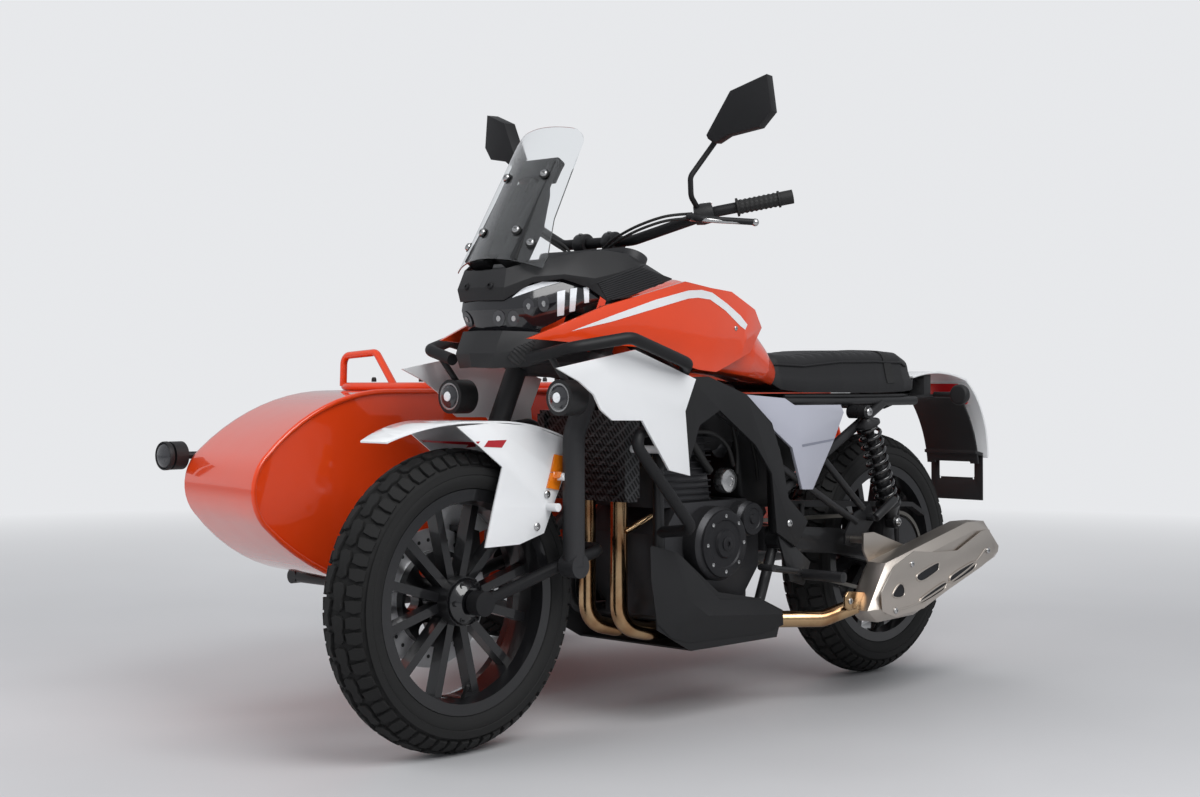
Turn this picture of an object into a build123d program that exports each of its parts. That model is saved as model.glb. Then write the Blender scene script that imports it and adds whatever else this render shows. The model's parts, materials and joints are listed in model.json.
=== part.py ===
"""Sidecar motorcycle: a leading-link adventure twin with a three-wheel outfit's tub on its right side.

The bike's plane stands at bike_x and its rear axle at rear_axle_y, so that the whole outfit is centred on
the origin, with the floor at zero. The front faces -Y, the left side +X and the sidecar -X.
"""
from build123d import *
from math import cos, radians, sin
import os

# Driving sizes of the outfit
wheelbase = 1480
saddle_height = 850
body_half_width = 200
track = 1160
wheel_lead = 220
bike_x = 400
rear_axle_y = 665

# Wheels and tyres
tyre_radius = 320
tyre_width = 130
bead_width = 96
bead_radius = 219
flange_radius = 235
flange_width = 112
rim_well_radius = 203
hub_radius = 52
hub_width = 84
spoke_pairs = 6
spoke_width = 19
spoke_depth = 30
axle_radius = 9
axle_gap = 0.5
disc_radius = 148
disc_bore_radius = 100
disc_thickness = 5
disc_offset = 64

# Steering
rake_degrees = 25
head_setback = 450
head_height = 1070
crown_thickness = 26
crown_middle_radius = 28
crown_end_radius = 35
upper_crown_start = 22
lower_crown_start = 276
bearing_gap = 0.3
head_tube_radius = 30
stem_radius = 16
stem_gap = 2
leg_spacing = body_half_width * 0.62
leg_forward = 20
leg_radius = 24
knee_distance = 460
knee_bend = 72
link_pivot_height = 383
link_half_width = body_half_width * 0.44
link_arm_radius = 13
link_eye_half_width = 16
link_bend = 36
link_loop_setback = 367
link_loop_height = 408

# Clearances and small common sizes
seat_gap = 0.3
overrun = 2
sheet = 4
pane = 3
flap = 6
running_gap = 6


def spot(y_share, z_share):
    """Point of a side outline: forward share of the wheelbase and share of the saddle height."""
    return (rear_axle_y - wheelbase * y_share, saddle_height * z_share)


def at(x_share, y_share, z_share):
    """Place on the motorcycle, its sideways share taken of the body's half width."""
    return Vector(bike_x + body_half_width * x_share, *spot(y_share, z_share))


def beside(x_share, y_share, z_share):
    """Place on the sidecar, its sideways share taken of the track."""
    return Vector(bike_x - track * x_share, *spot(y_share, z_share))


def side_plane(offset):
    """Upright plane along the motorcycle, the given distance left of its middle."""
    return Plane.YZ.offset(bike_x + offset)


def panel(shares, inner, thickness):
    """Flat piece with a side outline, added from its inner face outwards to the left."""
    with BuildSketch(side_plane(inner)) as face:
        with BuildLine():
            Polyline(*[spot(*share) for share in shares], close=True)
        make_face()
    extrude(face.sketch, amount=thickness)


def tube(places, radius, bend=0):
    """Round bar along straight runs joined by equal bends."""
    with BuildLine() as route:
        if len(places) > 2:
            FilletPolyline(*places, radius=bend)
        else:
            Line(*places)
    with BuildSketch(Plane(origin=route.line @ 0, z_dir=route.line % 0)) as section:
        Circle(radius)
    sweep(section.sketch, path=route.line)


def side_outline(shares):
    """Closed side outline as a face, in the sketch in hand."""
    with BuildLine() as edge:
        Polyline(*[spot(*share) for share in shares], close=True)
    make_face(edge.line.edges())


def bent_sheet(routes, thickness, half_width):
    """Sheet across the motorcycle that follows arcs, each given by three places of the side view."""
    with BuildSketch(side_plane(-half_width)) as section:
        with BuildLine():
            for route in routes:
                ThreePointArc(*[spot(*share) for share in route])
        trace(line_width=thickness)
    extrude(section.sketch, amount=2 * half_width)


def plan(x_share, y_share):
    """Place seen from above, given as shares of the half width and wheelbase."""
    return bike_x + body_half_width * x_share, rear_axle_y - wheelbase * y_share


def bent_panel(plan_shares, shares, thickness):
    """Panel on the left, bent along an arc seen from above and cut to a side outline."""
    places = [plan(x_share, y_share) for x_share, y_share in plan_shares]
    with BuildSketch() as strip:
        with BuildLine():
            ThreePointArc(*places)
        trace(line_width=thickness)
    extrude(strip.sketch, amount=2 * saddle_height)
    with BuildSketch(middle_plane) as face:
        with BuildLine():
            Polyline(*[spot(*share) for share in shares], close=True)
        make_face()
    extrude(face.sketch, amount=track, mode=Mode.INTERSECT)


def disc(center, radius, half_width):
    """Round boss across the motorcycle, centred on a place."""
    with BuildSketch(Plane(origin=center, x_dir=(0, 1, 0), z_dir=(1, 0, 0))) as face:
        Circle(radius)
    extrude(face.sketch, amount=half_width, both=True)


middle_plane = side_plane(0)
head_tube_start = upper_crown_start + crown_thickness + bearing_gap
head_tube_length = lower_crown_start - bearing_gap - head_tube_start
axis_down = Vector(0, -sin(radians(rake_degrees)), -cos(radians(rake_degrees)))
axis_forward = Vector(0, -cos(radians(rake_degrees)), sin(radians(rake_degrees)))
head_point = Vector(bike_x, rear_axle_y - wheelbase + head_setback, head_height)
front_axle = at(0, 1, 0) + Vector(0, 0, tyre_radius)
rear_axle = at(0, 0, 0) + Vector(0, 0, tyre_radius)
sidecar_axle = Vector(bike_x - track, rear_axle_y - wheel_lead, tyre_radius)


def steering_plane(distance):
    """Plane square to the steering axis, its local y pointing forwards."""
    return Plane(origin=head_point + axis_down * distance, x_dir=(1, 0, 0), z_dir=axis_down)


def steering_place(x, forward, distance):
    """Place given from the steering axis: sideways, forwards and down along it."""
    return head_point + Vector(x, 0, 0) + axis_forward * forward + axis_down * distance


def axle_plane(center):
    """Plane through a wheel's axle: local x across the wheel, local y upwards."""
    return Plane(origin=center, x_dir=(1, 0, 0), z_dir=(0, -1, 0))


def wheel_plane(center, offset):
    """Plane of a wheel, the given distance left of its middle."""
    return Plane(origin=center + Vector(offset, 0, 0), x_dir=(0, 1, 0), z_dir=(1, 0, 0))


def axle_line(center):
    """Axis of a wheel."""
    return Axis((center.X, center.Y, center.Z), (1, 0, 0))


# Tyre section, shares of half the tyre's width and of its radius
tyre_section_shares = [
    (0.72, 0.745),
    (0.96, 0.80),
    (1.0, 0.87),
    (0.93, 0.935),
    (0.55, 0.985),
]


def tyre(center):
    """Tyre ring seated on its rim, with a crowned tread."""
    half = tyre_width / 2
    outline = [(half * x_share, tyre_radius * r_share) for x_share, r_share in tyre_section_shares]
    bead = bead_width / 2 - seat_gap
    right = [(bead, bead_radius + seat_gap), *outline, (0, tyre_radius)]
    left = [(-x, r) for x, r in reversed(right[:-1])]
    with BuildSketch(axle_plane(center)) as section:
        with BuildLine():
            Polyline(*right, *left, close=True)
        make_face()
    revolve(section.sketch, axis=axle_line(center))


def cast_rim(center):
    """Rim bed with two flanges, hub barrel and spokes that fork in pairs towards the rim."""
    bead = bead_width / 2
    flange = flange_width / 2
    bed = [
        (bead, bead_radius),
        (bead, flange_radius),
        (flange, flange_radius),
        (flange, bead_radius - (flange_radius - bead_radius) / 2),
        (flange / 2, rim_well_radius),
    ]
    with BuildSketch(axle_plane(center)) as section:
        with BuildLine():
            Polyline(*bed, *[(-x, r) for x, r in reversed(bed)], close=True)
        make_face()
    revolve(section.sketch, axis=axle_line(center))
    with BuildSketch(wheel_plane(center, -hub_width / 2)) as hub:
        Circle(hub_radius)
        Circle(axle_radius + axle_gap, mode=Mode.SUBTRACT)
    extrude(hub.sketch, amount=hub_width)
    half_step = 90 / spoke_pairs
    root = hub_radius - spoke_width / 4
    tip = rim_well_radius + spoke_width / 4
    with BuildSketch(wheel_plane(center, -spoke_depth / 2)) as fork:
        for pair in range(spoke_pairs):
            for lean in (-1, 1):
                middle = 360 / spoke_pairs * pair
                low = Vector(root, lean * spoke_width / 2, 0).rotate(Axis.Z, middle)
                high = Vector(tip, 0, 0).rotate(Axis.Z, middle + lean * half_step)
                across = (high - low).normalized().rotate(Axis.Z, 90) * (spoke_width / 2)
                with BuildLine():
                    Polyline(low - across, low + across, high + across, high - across, close=True)
                make_face()
    extrude(fork.sketch, amount=spoke_depth)


def brake_disc(center, side):
    """Brake disc with its carrier, on the given side of the hub."""
    inner = side * disc_offset - disc_thickness / 2
    with BuildSketch(wheel_plane(center, inner)) as ring:
        Circle(disc_radius)
        Circle(disc_bore_radius, mode=Mode.SUBTRACT)
    extrude(ring.sketch, amount=disc_thickness)
    hub_face = hub_width / 2 - overrun
    with BuildSketch(wheel_plane(center, side * hub_face)) as carrier:
        Circle(disc_bore_radius + overrun)
        Circle(hub_radius - spoke_width, mode=Mode.SUBTRACT)
        with PolarLocations((disc_bore_radius + hub_radius) / 2, spoke_pairs):
            Circle(spoke_width, mode=Mode.SUBTRACT)
    extrude(carrier.sketch, amount=side * (disc_offset + disc_thickness / 2 - hub_face))


# Main frame

spar_radius = 18
spar_bend = 60
spar_head = (32, -12, 144)
spar_shares = [(0.79, 0.625, 0.912), (0.79, 0.405, 0.735), (0.75, 0.391, 0.471)]
cradle_radius = 13
cradle_bend = 45
cradle_head = (34, -28, 206)
cradle_shares = [(0.7, 0.67, 0.847), (0.7, 0.666, 0.288), (0.7, 0.432, 0.276), (0.7, 0.389, 0.453)]
rail_radius = 12
rail_bend = 60
rail_shares = [(0.75, 0.432, 0.771), (0.56, 0.365, 0.855), (0.56, -0.041, 0.855)]
brace_shares = [(0.75, 0.395, 0.588), (0.6, 0.068, 0.847)]
hanger_radius = 9
hanger_shares = [
    [(0.675, 0.341, 0.812), (0.88, 0.177, 0.539)],
    [(0.76, 0.399, 0.688), (0.88, 0.196, 0.501)],
]
bracket_inner = body_half_width * 0.86
bracket_shares = [
    (0.203, 0.527), (0.157, 0.553), (0.143, 0.504), (0.196, 0.426), (0.228, 0.438), (0.228, 0.471),
]
pivot_y_share = 0.391
pivot_z_share = 0.471
pivot_radius = 24
pivot_half_width = body_half_width * 0.86
shock_shares = [(0.78, 0.154, 0.824), (0.78, 0.068, 0.488)]
shock_eye_radius = 15
shock_eye_half_width = 14
shock_stub_radius = 17
cross_y_shares = [.60, .44]
rail_cross_y_shares = [.345, .11, -.03]

with BuildPart() as main_frame:
    tube([steering_place(*spar_head)] + [at(*share) for share in spar_shares], spar_radius, spar_bend)
    tube(
        [steering_place(*cradle_head)] + [at(*share) for share in cradle_shares],
        cradle_radius,
        cradle_bend,
    )
    tube([at(*share) for share in rail_shares], rail_radius, rail_bend)
    tube([at(*share) for share in brace_shares], rail_radius)
    for shares in hanger_shares:
        tube([at(*share) for share in shares], hanger_radius)
    panel(bracket_shares, bracket_inner, flap)
    stub_start = side_plane(body_half_width * rail_shares[1][0])
    stub_length = body_half_width * (shock_shares[0][0] - rail_shares[1][0]) - shock_eye_half_width
    with BuildSketch(stub_start) as stub:
        with Locations(spot(*shock_shares[0][1:])):
            Circle(shock_stub_radius)
    extrude(stub.sketch, amount=stub_length)
    mirror(about=middle_plane)
    with BuildSketch(steering_plane(head_tube_start)) as head:
        Circle(head_tube_radius)
    extrude(head.sketch, amount=head_tube_length)
    disc(at(0, pivot_y_share, pivot_z_share), pivot_radius, pivot_half_width)
    cradle_height = cradle_shares[2][2]
    for y_share in cross_y_shares:
        disc(at(0, y_share, cradle_height), cradle_radius, body_half_width * cradle_shares[1][0])
    for y_share in rail_cross_y_shares:
        disc(at(0, y_share, rail_shares[1][2]), rail_radius, body_half_width * rail_shares[1][0])
    with BuildSketch(steering_plane(head_tube_start - overrun)) as head_bore:
        Circle(stem_radius + stem_gap)
    extrude(head_bore.sketch, amount=head_tube_length + 2 * overrun, mode=Mode.SUBTRACT)

# Sidecar frame: two long tubes, cross tubes under the tub and four struts to the motorcycle

chassis_radius = 18
cross_radius = 15
tub_floor_share = 0.353
inner_tube_x_share = 0.324
outer_tube_x_share = 0.776
inner_tube_shares = (0.98, -0.17)
outer_tube_shares = (0.83, -0.17)
sidecar_cross_shares = [0.82, 0.37, -0.14]
strut_radius = 15
strut_shares = [
    ((-0.7, 0.672, 0.553), (0.323, 0.672, 0.332)),
    ((-0.84, 0.391, 0.472), (0.323, 0.338, 0.332)),
    ((-0.79, 0.595, 0.876), (0.323, 0.73, 0.332)),
    ((-0.56, 0.203, 0.855), (0.323, 0.122, 0.332)),
]
arm_pivot_share = (0.405, 0.332)
arm_pivot_reach = 0.885

with BuildPart() as sidecar_frame:
    tube_height = tub_floor_share - (chassis_radius + seat_gap) / saddle_height
    for x_share, ends in ((inner_tube_x_share, inner_tube_shares), (outer_tube_x_share, outer_tube_shares)):
        tube([beside(x_share, end, tube_height) for end in ends], chassis_radius)
    for y_share in sidecar_cross_shares:
        tube(
            [beside(x_share, y_share, tube_height) for x_share in (inner_tube_x_share, outer_tube_x_share)],
            cross_radius,
        )
    for bike_end, sidecar_end in strut_shares:
        tube([at(*bike_end), beside(*sidecar_end)], strut_radius)
    arm_ends = (outer_tube_x_share, arm_pivot_reach)
    tube([beside(x_share, arm_pivot_share[0], tube_height) for x_share in arm_ends], strut_radius)
    add(main_frame.part, mode=Mode.SUBTRACT)

# Frame covers, moulded plates beside the spars

cover_inner = body_half_width * 0.89
cover_thickness = 8
cover_shares = [
    (0.635, 0.927), (0.588, 0.929), (0.496, 0.88), (0.432, 0.8), (0.405, 0.694), (0.389, 0.588),
    (0.338, 0.518), (0.368, 0.447), (0.419, 0.494), (0.432, 0.659), (0.473, 0.741), (0.561, 0.838),
    (0.608, 0.8), (0.632, 0.706), (0.65, 0.682), (0.647, 0.812),
]
cover_seat_shares = [(0.611, 0.888), (0.419, 0.744)]
cover_seat_radius = 12

with BuildPart() as frame_covers:
    panel(cover_shares, cover_inner, cover_thickness)
    for share in cover_seat_shares:
        with BuildSketch(side_plane(body_half_width * spar_shares[0][0])) as boss:
            with Locations(spot(*share)):
                Circle(cover_seat_radius)
        extrude(boss.sketch, amount=cover_inner - body_half_width * spar_shares[0][0])
    mirror(about=middle_plane)
    add(sidecar_frame.part, mode=Mode.SUBTRACT)
    add(main_frame.part, mode=Mode.SUBTRACT)

# Engine, cases with cylinder block and head

case_half_width = body_half_width * 0.62
case_shares = [
    (0.639, 0.388), (0.645, 0.506), (0.608, 0.588), (0.446, 0.588), (0.416, 0.529), (0.414, 0.4),
    (0.459, 0.308), (0.608, 0.308),
]
block_half_width = body_half_width * 0.525
block_shares = [(0.639, 0.576), (0.654, 0.782), (0.541, 0.812), (0.52, 0.576)]
foot_shares = [(0.611, 0.353), (0.591, 0.353), (0.591, 0.278), (0.611, 0.278)]
rear_foot_shares = [(0.451, 0.353), (0.431, 0.353), (0.431, 0.278), (0.451, 0.278)]

with BuildPart() as engine:
    panel(case_shares, -case_half_width, 2 * case_half_width)
    panel(block_shares, -block_half_width, 2 * block_half_width)
    panel(foot_shares, -block_half_width, 2 * block_half_width)
    panel(rear_foot_shares, -block_half_width, 2 * block_half_width)
    add(main_frame.part, mode=Mode.SUBTRACT)

# Engine covers, round casings left and right with the small cover behind

left_cover_share = (0.543, 0.476)
left_cover_radius = 86
left_cover_depth = 52
rear_cover_share = (0.464, 0.535)
rear_cover_radius = 42
rear_cover_depth = 40
right_cover_share = (0.5, 0.471)
right_cover_radius = 98
right_cover_depth = 46
cover_lip = 14
cover_slope = 45

with BuildPart() as engine_covers:
    for share, radius, depth, side in (
        (left_cover_share, left_cover_radius, left_cover_depth, 1),
        (rear_cover_share, rear_cover_radius, rear_cover_depth, 1),
        (right_cover_share, right_cover_radius, right_cover_depth, -1),
    ):
        with BuildSketch(side_plane(side * case_half_width)) as rim:
            with Locations(spot(*share)):
                Circle(radius)
        extrude(rim.sketch, amount=side * (depth - cover_lip))
        with BuildSketch(side_plane(side * (case_half_width + depth - cover_lip))) as face:
            with Locations(spot(*share)):
                Circle(radius)
        extrude(face.sketch, amount=side * cover_lip, taper=cover_slope)
    add(sidecar_frame.part, mode=Mode.SUBTRACT)
    add(main_frame.part, mode=Mode.SUBTRACT)

# Radiator with side tanks, on two lugs from the down tubes

radiator_half_width = body_half_width * 0.69
radiator_shares = [(0.736, 0.602), (0.736, 0.838), (0.714, 0.838), (0.714, 0.602)]
tank_width = 22
side_tank_shares = [(0.741, 0.612), (0.741, 0.828), (0.709, 0.828), (0.709, 0.612)]
radiator_lug_shares = [(0.63, 0.711, 0.729), (0.67, 0.669, 0.729)]
radiator_lug_radius = 7
fin_count = 13
fin_gap = 6
fin_depth = 5

with BuildPart() as radiator:
    panel(radiator_shares, -radiator_half_width, 2 * radiator_half_width)
    panel(side_tank_shares, radiator_half_width - tank_width, tank_width)
    panel(side_tank_shares, -radiator_half_width, tank_width)
    core_front, core_foot = spot(*radiator_shares[0])
    core_top = spot(*radiator_shares[1])[1]
    fin_pitch = (core_top - core_foot) / fin_count
    with BuildSketch(Plane.XZ.offset(-core_front)) as grooves:
        with Locations((bike_x, (core_foot + core_top) / 2)):
            with GridLocations(0, fin_pitch, 1, fin_count - 1):
                Rectangle(2 * (radiator_half_width - tank_width), fin_gap)
    extrude(grooves.sketch, amount=-fin_depth, mode=Mode.SUBTRACT)
    tube([at(*share) for share in radiator_lug_shares], radiator_lug_radius)
    tube([at(-share[0], *share[1:]) for share in radiator_lug_shares], radiator_lug_radius)
    add(main_frame.part, mode=Mode.SUBTRACT)

# Exhaust, two header pipes that run under the engine to the silencer on the left

header_radius = 20
header_bend = 60
left_header_shares = [
    (0.25, 0.654, 0.706), (0.25, 0.691, 0.659), (0.25, 0.691, 0.265), (0.3, 0.635, 0.241),
    (0.425, 0.419, 0.241), (1.075, 0.324, 0.241), (1.31, 0.277, 0.276),
]
right_header_shares = [
    (-0.25, 0.654, 0.706), (-0.25, 0.691, 0.659), (-0.25, 0.691, 0.265), (-0.2, 0.635, 0.241),
    (-0.05, 0.473, 0.241), (0.26, 0.405, 0.241),
]

with BuildPart() as exhaust_headers:
    tube([at(*share) for share in left_header_shares], header_radius, header_bend)
    tube([at(*share) for share in right_header_shares], header_radius, header_bend)
    add(main_frame.part, mode=Mode.SUBTRACT)
    add(engine.part, mode=Mode.SUBTRACT)

# Silencer with its hanger plate and the boss bolted to the frame's bracket

silencer_inner = body_half_width * 1.16
silencer_depth = 92
silencer_edge = 20
silencer_shares = [
    (0.284, 0.265), (0.233, 0.395), (-0.012, 0.488), (-0.064, 0.487), (-0.108, 0.415), (-0.101, 0.372),
    (0.153, 0.234), (0.257, 0.229),
]
outlet_radius = 19
outlet_depth = 60
outlet_mouth_share = (-0.115, 0.412)
outlet_inner_share = (0.101, 0.318)
hanger_plate_shares = [
    (0.226, 0.475), (0.197, 0.475), (0.101, 0.424), (0.122, 0.376), (0.203, 0.365), (0.226, 0.424),
]
hanger_bolt_share = (0.211, 0.452)
hanger_boss_radius = 9

with BuildPart() as silencer:
    panel(silencer_shares, silencer_inner, silencer_depth)
    chamfer(silencer.edges().filter_by(GeomType.LINE).filter_by(Axis.X, reverse=True), silencer_edge)
    mouth = Vector(bike_x + silencer_inner + silencer_depth / 2, *spot(*outlet_mouth_share))
    inner_end = Vector(bike_x + silencer_inner + silencer_depth / 2, *spot(*outlet_inner_share))
    with BuildSketch(Plane(origin=mouth, z_dir=inner_end - mouth)) as outlet:
        Circle(outlet_radius)
    extrude(outlet.sketch, amount=outlet_depth, mode=Mode.SUBTRACT)
    panel(hanger_plate_shares, silencer_inner - flap, flap)
    with BuildSketch(side_plane(bracket_inner + flap)) as boss:
        with Locations(spot(*hanger_bolt_share)):
            Circle(hanger_boss_radius)
    extrude(boss.sketch, amount=silencer_inner - bracket_inner - flap)
    add(exhaust_headers.part, mode=Mode.SUBTRACT)

# Slotted heat shield outside the silencer

shield_thickness = 3
shield_gap = 6
shield_shares = [
    (0.267, 0.288), (0.176, 0.414), (0.051, 0.406), (-0.047, 0.461), (-0.07, 0.382), (0.15, 0.255),
    (0.257, 0.249),
]
slot_length = 34
slot_width = 9
slot_rows_shares = [
    [(0.203, 0.341), (0.159, 0.356)],
    [(0.196, 0.3), (0.152, 0.315)],
    [(0.041, 0.376), (-0.003, 0.394)],
    [(0.034, 0.339), (-0.01, 0.355)],
]
slot_slope = 13
shield_post_shares = [(0.135, 0.341), (-0.027, 0.406)]
shield_post_radius = 10

with BuildPart() as silencer_shield:
    shield_inner = silencer_inner + silencer_depth + shield_gap
    panel(shield_shares, shield_inner, shield_thickness)
    with BuildSketch(side_plane(shield_inner - overrun)) as slots:
        for row in slot_rows_shares:
            with Locations(*[spot(*share) for share in row]):
                SlotOverall(slot_length, slot_width, rotation=slot_slope)
    extrude(slots.sketch, amount=shield_thickness + 2 * overrun, mode=Mode.SUBTRACT)
    with BuildSketch(side_plane(shield_inner - shield_gap)) as posts:
        with Locations(*[spot(*share) for share in shield_post_shares]):
            Circle(shield_post_radius)
    extrude(posts.sketch, amount=shield_gap)

# Belly guard, two angular cheeks joined by a keel plate

guard_half_width = body_half_width * 0.88
guard_shares = [
    (0.711, 0.491), (0.651, 0.465), (0.556, 0.347), (0.453, 0.315), (0.395, 0.273), (0.411, 0.2),
    (0.62, 0.2), (0.697, 0.269),
]
keel_shares = [(0.62, 0.2), (0.411, 0.2)]
guard_seat_shares = [(0.666, 0.388), (0.527, 0.279)]
guard_seat_radius = 10

with BuildPart() as belly_guard:
    panel(guard_shares, guard_half_width - sheet, sheet)
    for share in guard_seat_shares:
        with BuildSketch(side_plane(body_half_width * cradle_shares[1][0])) as boss:
            with Locations(spot(*share)):
                Circle(guard_seat_radius)
        extrude(boss.sketch, amount=guard_half_width - body_half_width * cradle_shares[1][0])
    mirror(about=middle_plane)
    with BuildSketch(side_plane(-guard_half_width)) as keel:
        with BuildLine():
            front = spot(*keel_shares[0])
            rear = spot(*keel_shares[1])
            Polyline(front, rear, (rear[0], rear[1] + sheet), (front[0], front[1] + sheet), close=True)
        make_face()
    extrude(keel.sketch, amount=2 * guard_half_width)
    add(sidecar_frame.part, mode=Mode.SUBTRACT)
    add(main_frame.part, mode=Mode.SUBTRACT)

# Swingarm, two beams joined ahead of the tyre

beam_inner = body_half_width * 0.53
beam_thickness = 28
shock_lug_shares = [(0.091, 0.388), (0.044, 0.388), (0.057, 0.508), (0.078, 0.508)]
beam_shares = [
    (0.409, 0.506), (0.365, 0.504), (0.203, 0.48), (0.041, 0.414), (-0.03, 0.406), (-0.034, 0.347),
    (0.041, 0.339), (0.203, 0.406), (0.365, 0.431), (0.409, 0.438),
]
arm_cross_shares = (0.324, 0.468)
arm_cross_radius = 24
axle_reach = body_half_width * 0.73

with BuildPart() as swingarm:
    panel(beam_shares, beam_inner, beam_thickness)
    panel(
        shock_lug_shares,
        beam_inner,
        body_half_width * shock_shares[1][0] - shock_eye_half_width - beam_inner,
    )
    mirror(about=middle_plane)
    disc(at(0, *arm_cross_shares), arm_cross_radius, beam_inner + overrun)
    disc(at(0, 0, 0) + Vector(0, 0, tyre_radius), axle_radius, axle_reach)
    add(main_frame.part, mode=Mode.SUBTRACT)

# Rear shocks, coil springs over dampers

spring_radius = 27
spring_core_radius = 17
damper_radius = 11
spring_turns = 8
spring_start_share = 0.16
spring_end_share = 0.86
turn_shares = (0.3, 0.5, 0.7)


def coil_shock(top, bottom, eye_radius, turns):
    """Spring and damper between two eyes, its turns as rings of one revolved section."""
    axis = (bottom - top).normalized()
    length = (bottom - top).length
    start = length * spring_start_share
    stop = length * spring_end_share
    pitch = (stop - start) / turns
    profile = [(0, 0), (damper_radius, 0), (damper_radius, start), (spring_radius, start)]
    for turn in range(turns):
        base = start + pitch * turn
        radii = (spring_radius, spring_core_radius, spring_core_radius)
        profile += [(radius, base + pitch * share) for radius, share in zip(radii, turn_shares)]
        profile.append((spring_radius, base + pitch))
    profile += [(damper_radius, stop), (damper_radius, length), (0, length)]
    with BuildSketch(Plane(origin=top, x_dir=(1, 0, 0), z_dir=Vector(1, 0, 0).cross(axis))) as section:
        with BuildLine():
            Polyline(*profile, close=True)
        make_face()
    revolve(section.sketch, axis=Axis(top, axis))
    disc(top, eye_radius, shock_eye_half_width)
    disc(bottom, eye_radius, shock_eye_half_width)


with BuildPart() as rear_shocks:
    coil_shock(at(*shock_shares[0]), at(*shock_shares[1]), shock_eye_radius, spring_turns)
    mirror(about=middle_plane)

# Drive chain with its sprocket wheels' circles, on the left

chain_offset = body_half_width * 0.475
chain_width = 12
chain_thickness = 9
front_sprocket_share = (0.443, 0.471)
front_sprocket_radius = 38
rear_sprocket_radius = 100

with BuildPart() as drive_chain:
    with BuildSketch(side_plane(chain_offset - chain_width / 2)) as loop:
        with BuildLine():
            CenterArc(spot(*front_sprocket_share), front_sprocket_radius + chain_thickness, 0, 360)
            CenterArc(
                (rear_axle_y, tyre_radius),
                rear_sprocket_radius + running_gap + chain_thickness,
                0,
                360,
            )
        make_hull()
        offset(amount=-chain_thickness, mode=Mode.SUBTRACT)
    extrude(loop.sketch, amount=chain_width)
    with BuildSketch(side_plane(chain_offset - chain_width / 2)) as front_sprocket:
        with Locations(spot(*front_sprocket_share)):
            Circle(front_sprocket_radius + seat_gap)
    extrude(front_sprocket.sketch, amount=chain_width)
    add(engine.part, mode=Mode.SUBTRACT)

# Chain guard above the upper run

guard_strip_shares = [
    (0.338, 0.548), (0.324, 0.572), (0.041, 0.544), (-0.041, 0.536), (-0.084, 0.5), (-0.08, 0.488),
    (-0.039, 0.522), (0.041, 0.529), (0.324, 0.553),
]
chain_guard_inner = body_half_width * 0.43
chain_guard_width = 22
guard_foot_shares = [
    ((0.565, 0.291, 0.559), (0.565, 0.291, 0.482)),
    ((0.565, 0.014, 0.535), (0.565, 0.014, 0.4)),
]
guard_foot_radius = 7

with BuildPart() as chain_guard:
    panel(guard_strip_shares, chain_guard_inner, chain_guard_width)
    for top_share, foot_share in guard_foot_shares:
        tube([at(*top_share), at(*foot_share)], guard_foot_radius)
    add(swingarm.part, mode=Mode.SUBTRACT)

# Footrests on plates outside the swingarm pivot, with shift and brake pedals

peg_radius = 13
plate_thickness = 6
peg_plate_shares = [(0.412, 0.494), (0.385, 0.471), (0.324, 0.4), (0.341, 0.335), (0.378, 0.353)]
peg_share = (0.341, 0.367)
peg_reach = 118
pedal_radius = 8
pedal_shares = [(0.88, 0.351, 0.374), (0.98, 0.378, 0.382), (0.98, 0.473, 0.406), (1.2, 0.473, 0.406)]
pedal_bend = 10
pillion_peg_radius = 11
pillion_peg_shares = [(1.005, 0.164, 0.511), (1.005, 0.108, 0.561)]
pillion_pin_radius = 8

with BuildPart() as foot_controls:
    panel(peg_plate_shares, pivot_half_width, plate_thickness)
    with BuildSketch(side_plane(pivot_half_width)) as peg:
        with Locations(spot(*peg_share)):
            Circle(peg_radius)
    extrude(peg.sketch, amount=plate_thickness + peg_reach)
    tube([at(*share) for share in pedal_shares], pedal_radius, pedal_bend)
    tube([at(*share) for share in pillion_peg_shares], pillion_peg_radius)
    with BuildSketch(side_plane(bracket_inner + flap)) as pin:
        with Locations(spot(*pillion_peg_shares[0][1:])):
            Circle(pillion_pin_radius)
    extrude(pin.sketch, amount=body_half_width * pillion_peg_shares[0][0] - bracket_inner - flap)
    mirror(about=middle_plane)
    add(sidecar_frame.part, mode=Mode.SUBTRACT)
    add(frame_covers.part, mode=Mode.SUBTRACT)
    add(engine_covers.part, mode=Mode.SUBTRACT)

# Fuel tank, lofted over crowned sections. Columns: place, low edge, shoulder, ridge, half width and
# shoulder half width

tank_shares = [
    (0.635, 0.986, 1.124, 1.159, 0.59, 0.35),
    (0.541, 0.947, 1.159, 1.199, 0.75, 0.46),
    (0.446, 0.929, 1.118, 1.155, 0.74, 0.42),
    (0.392, 0.915, 1.035, 1.076, 0.64, 0.35),
    (0.355, 0.904, 0.982, 1.012, 0.525, 0.3),
]
tank_foot_share = 0.86

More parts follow.
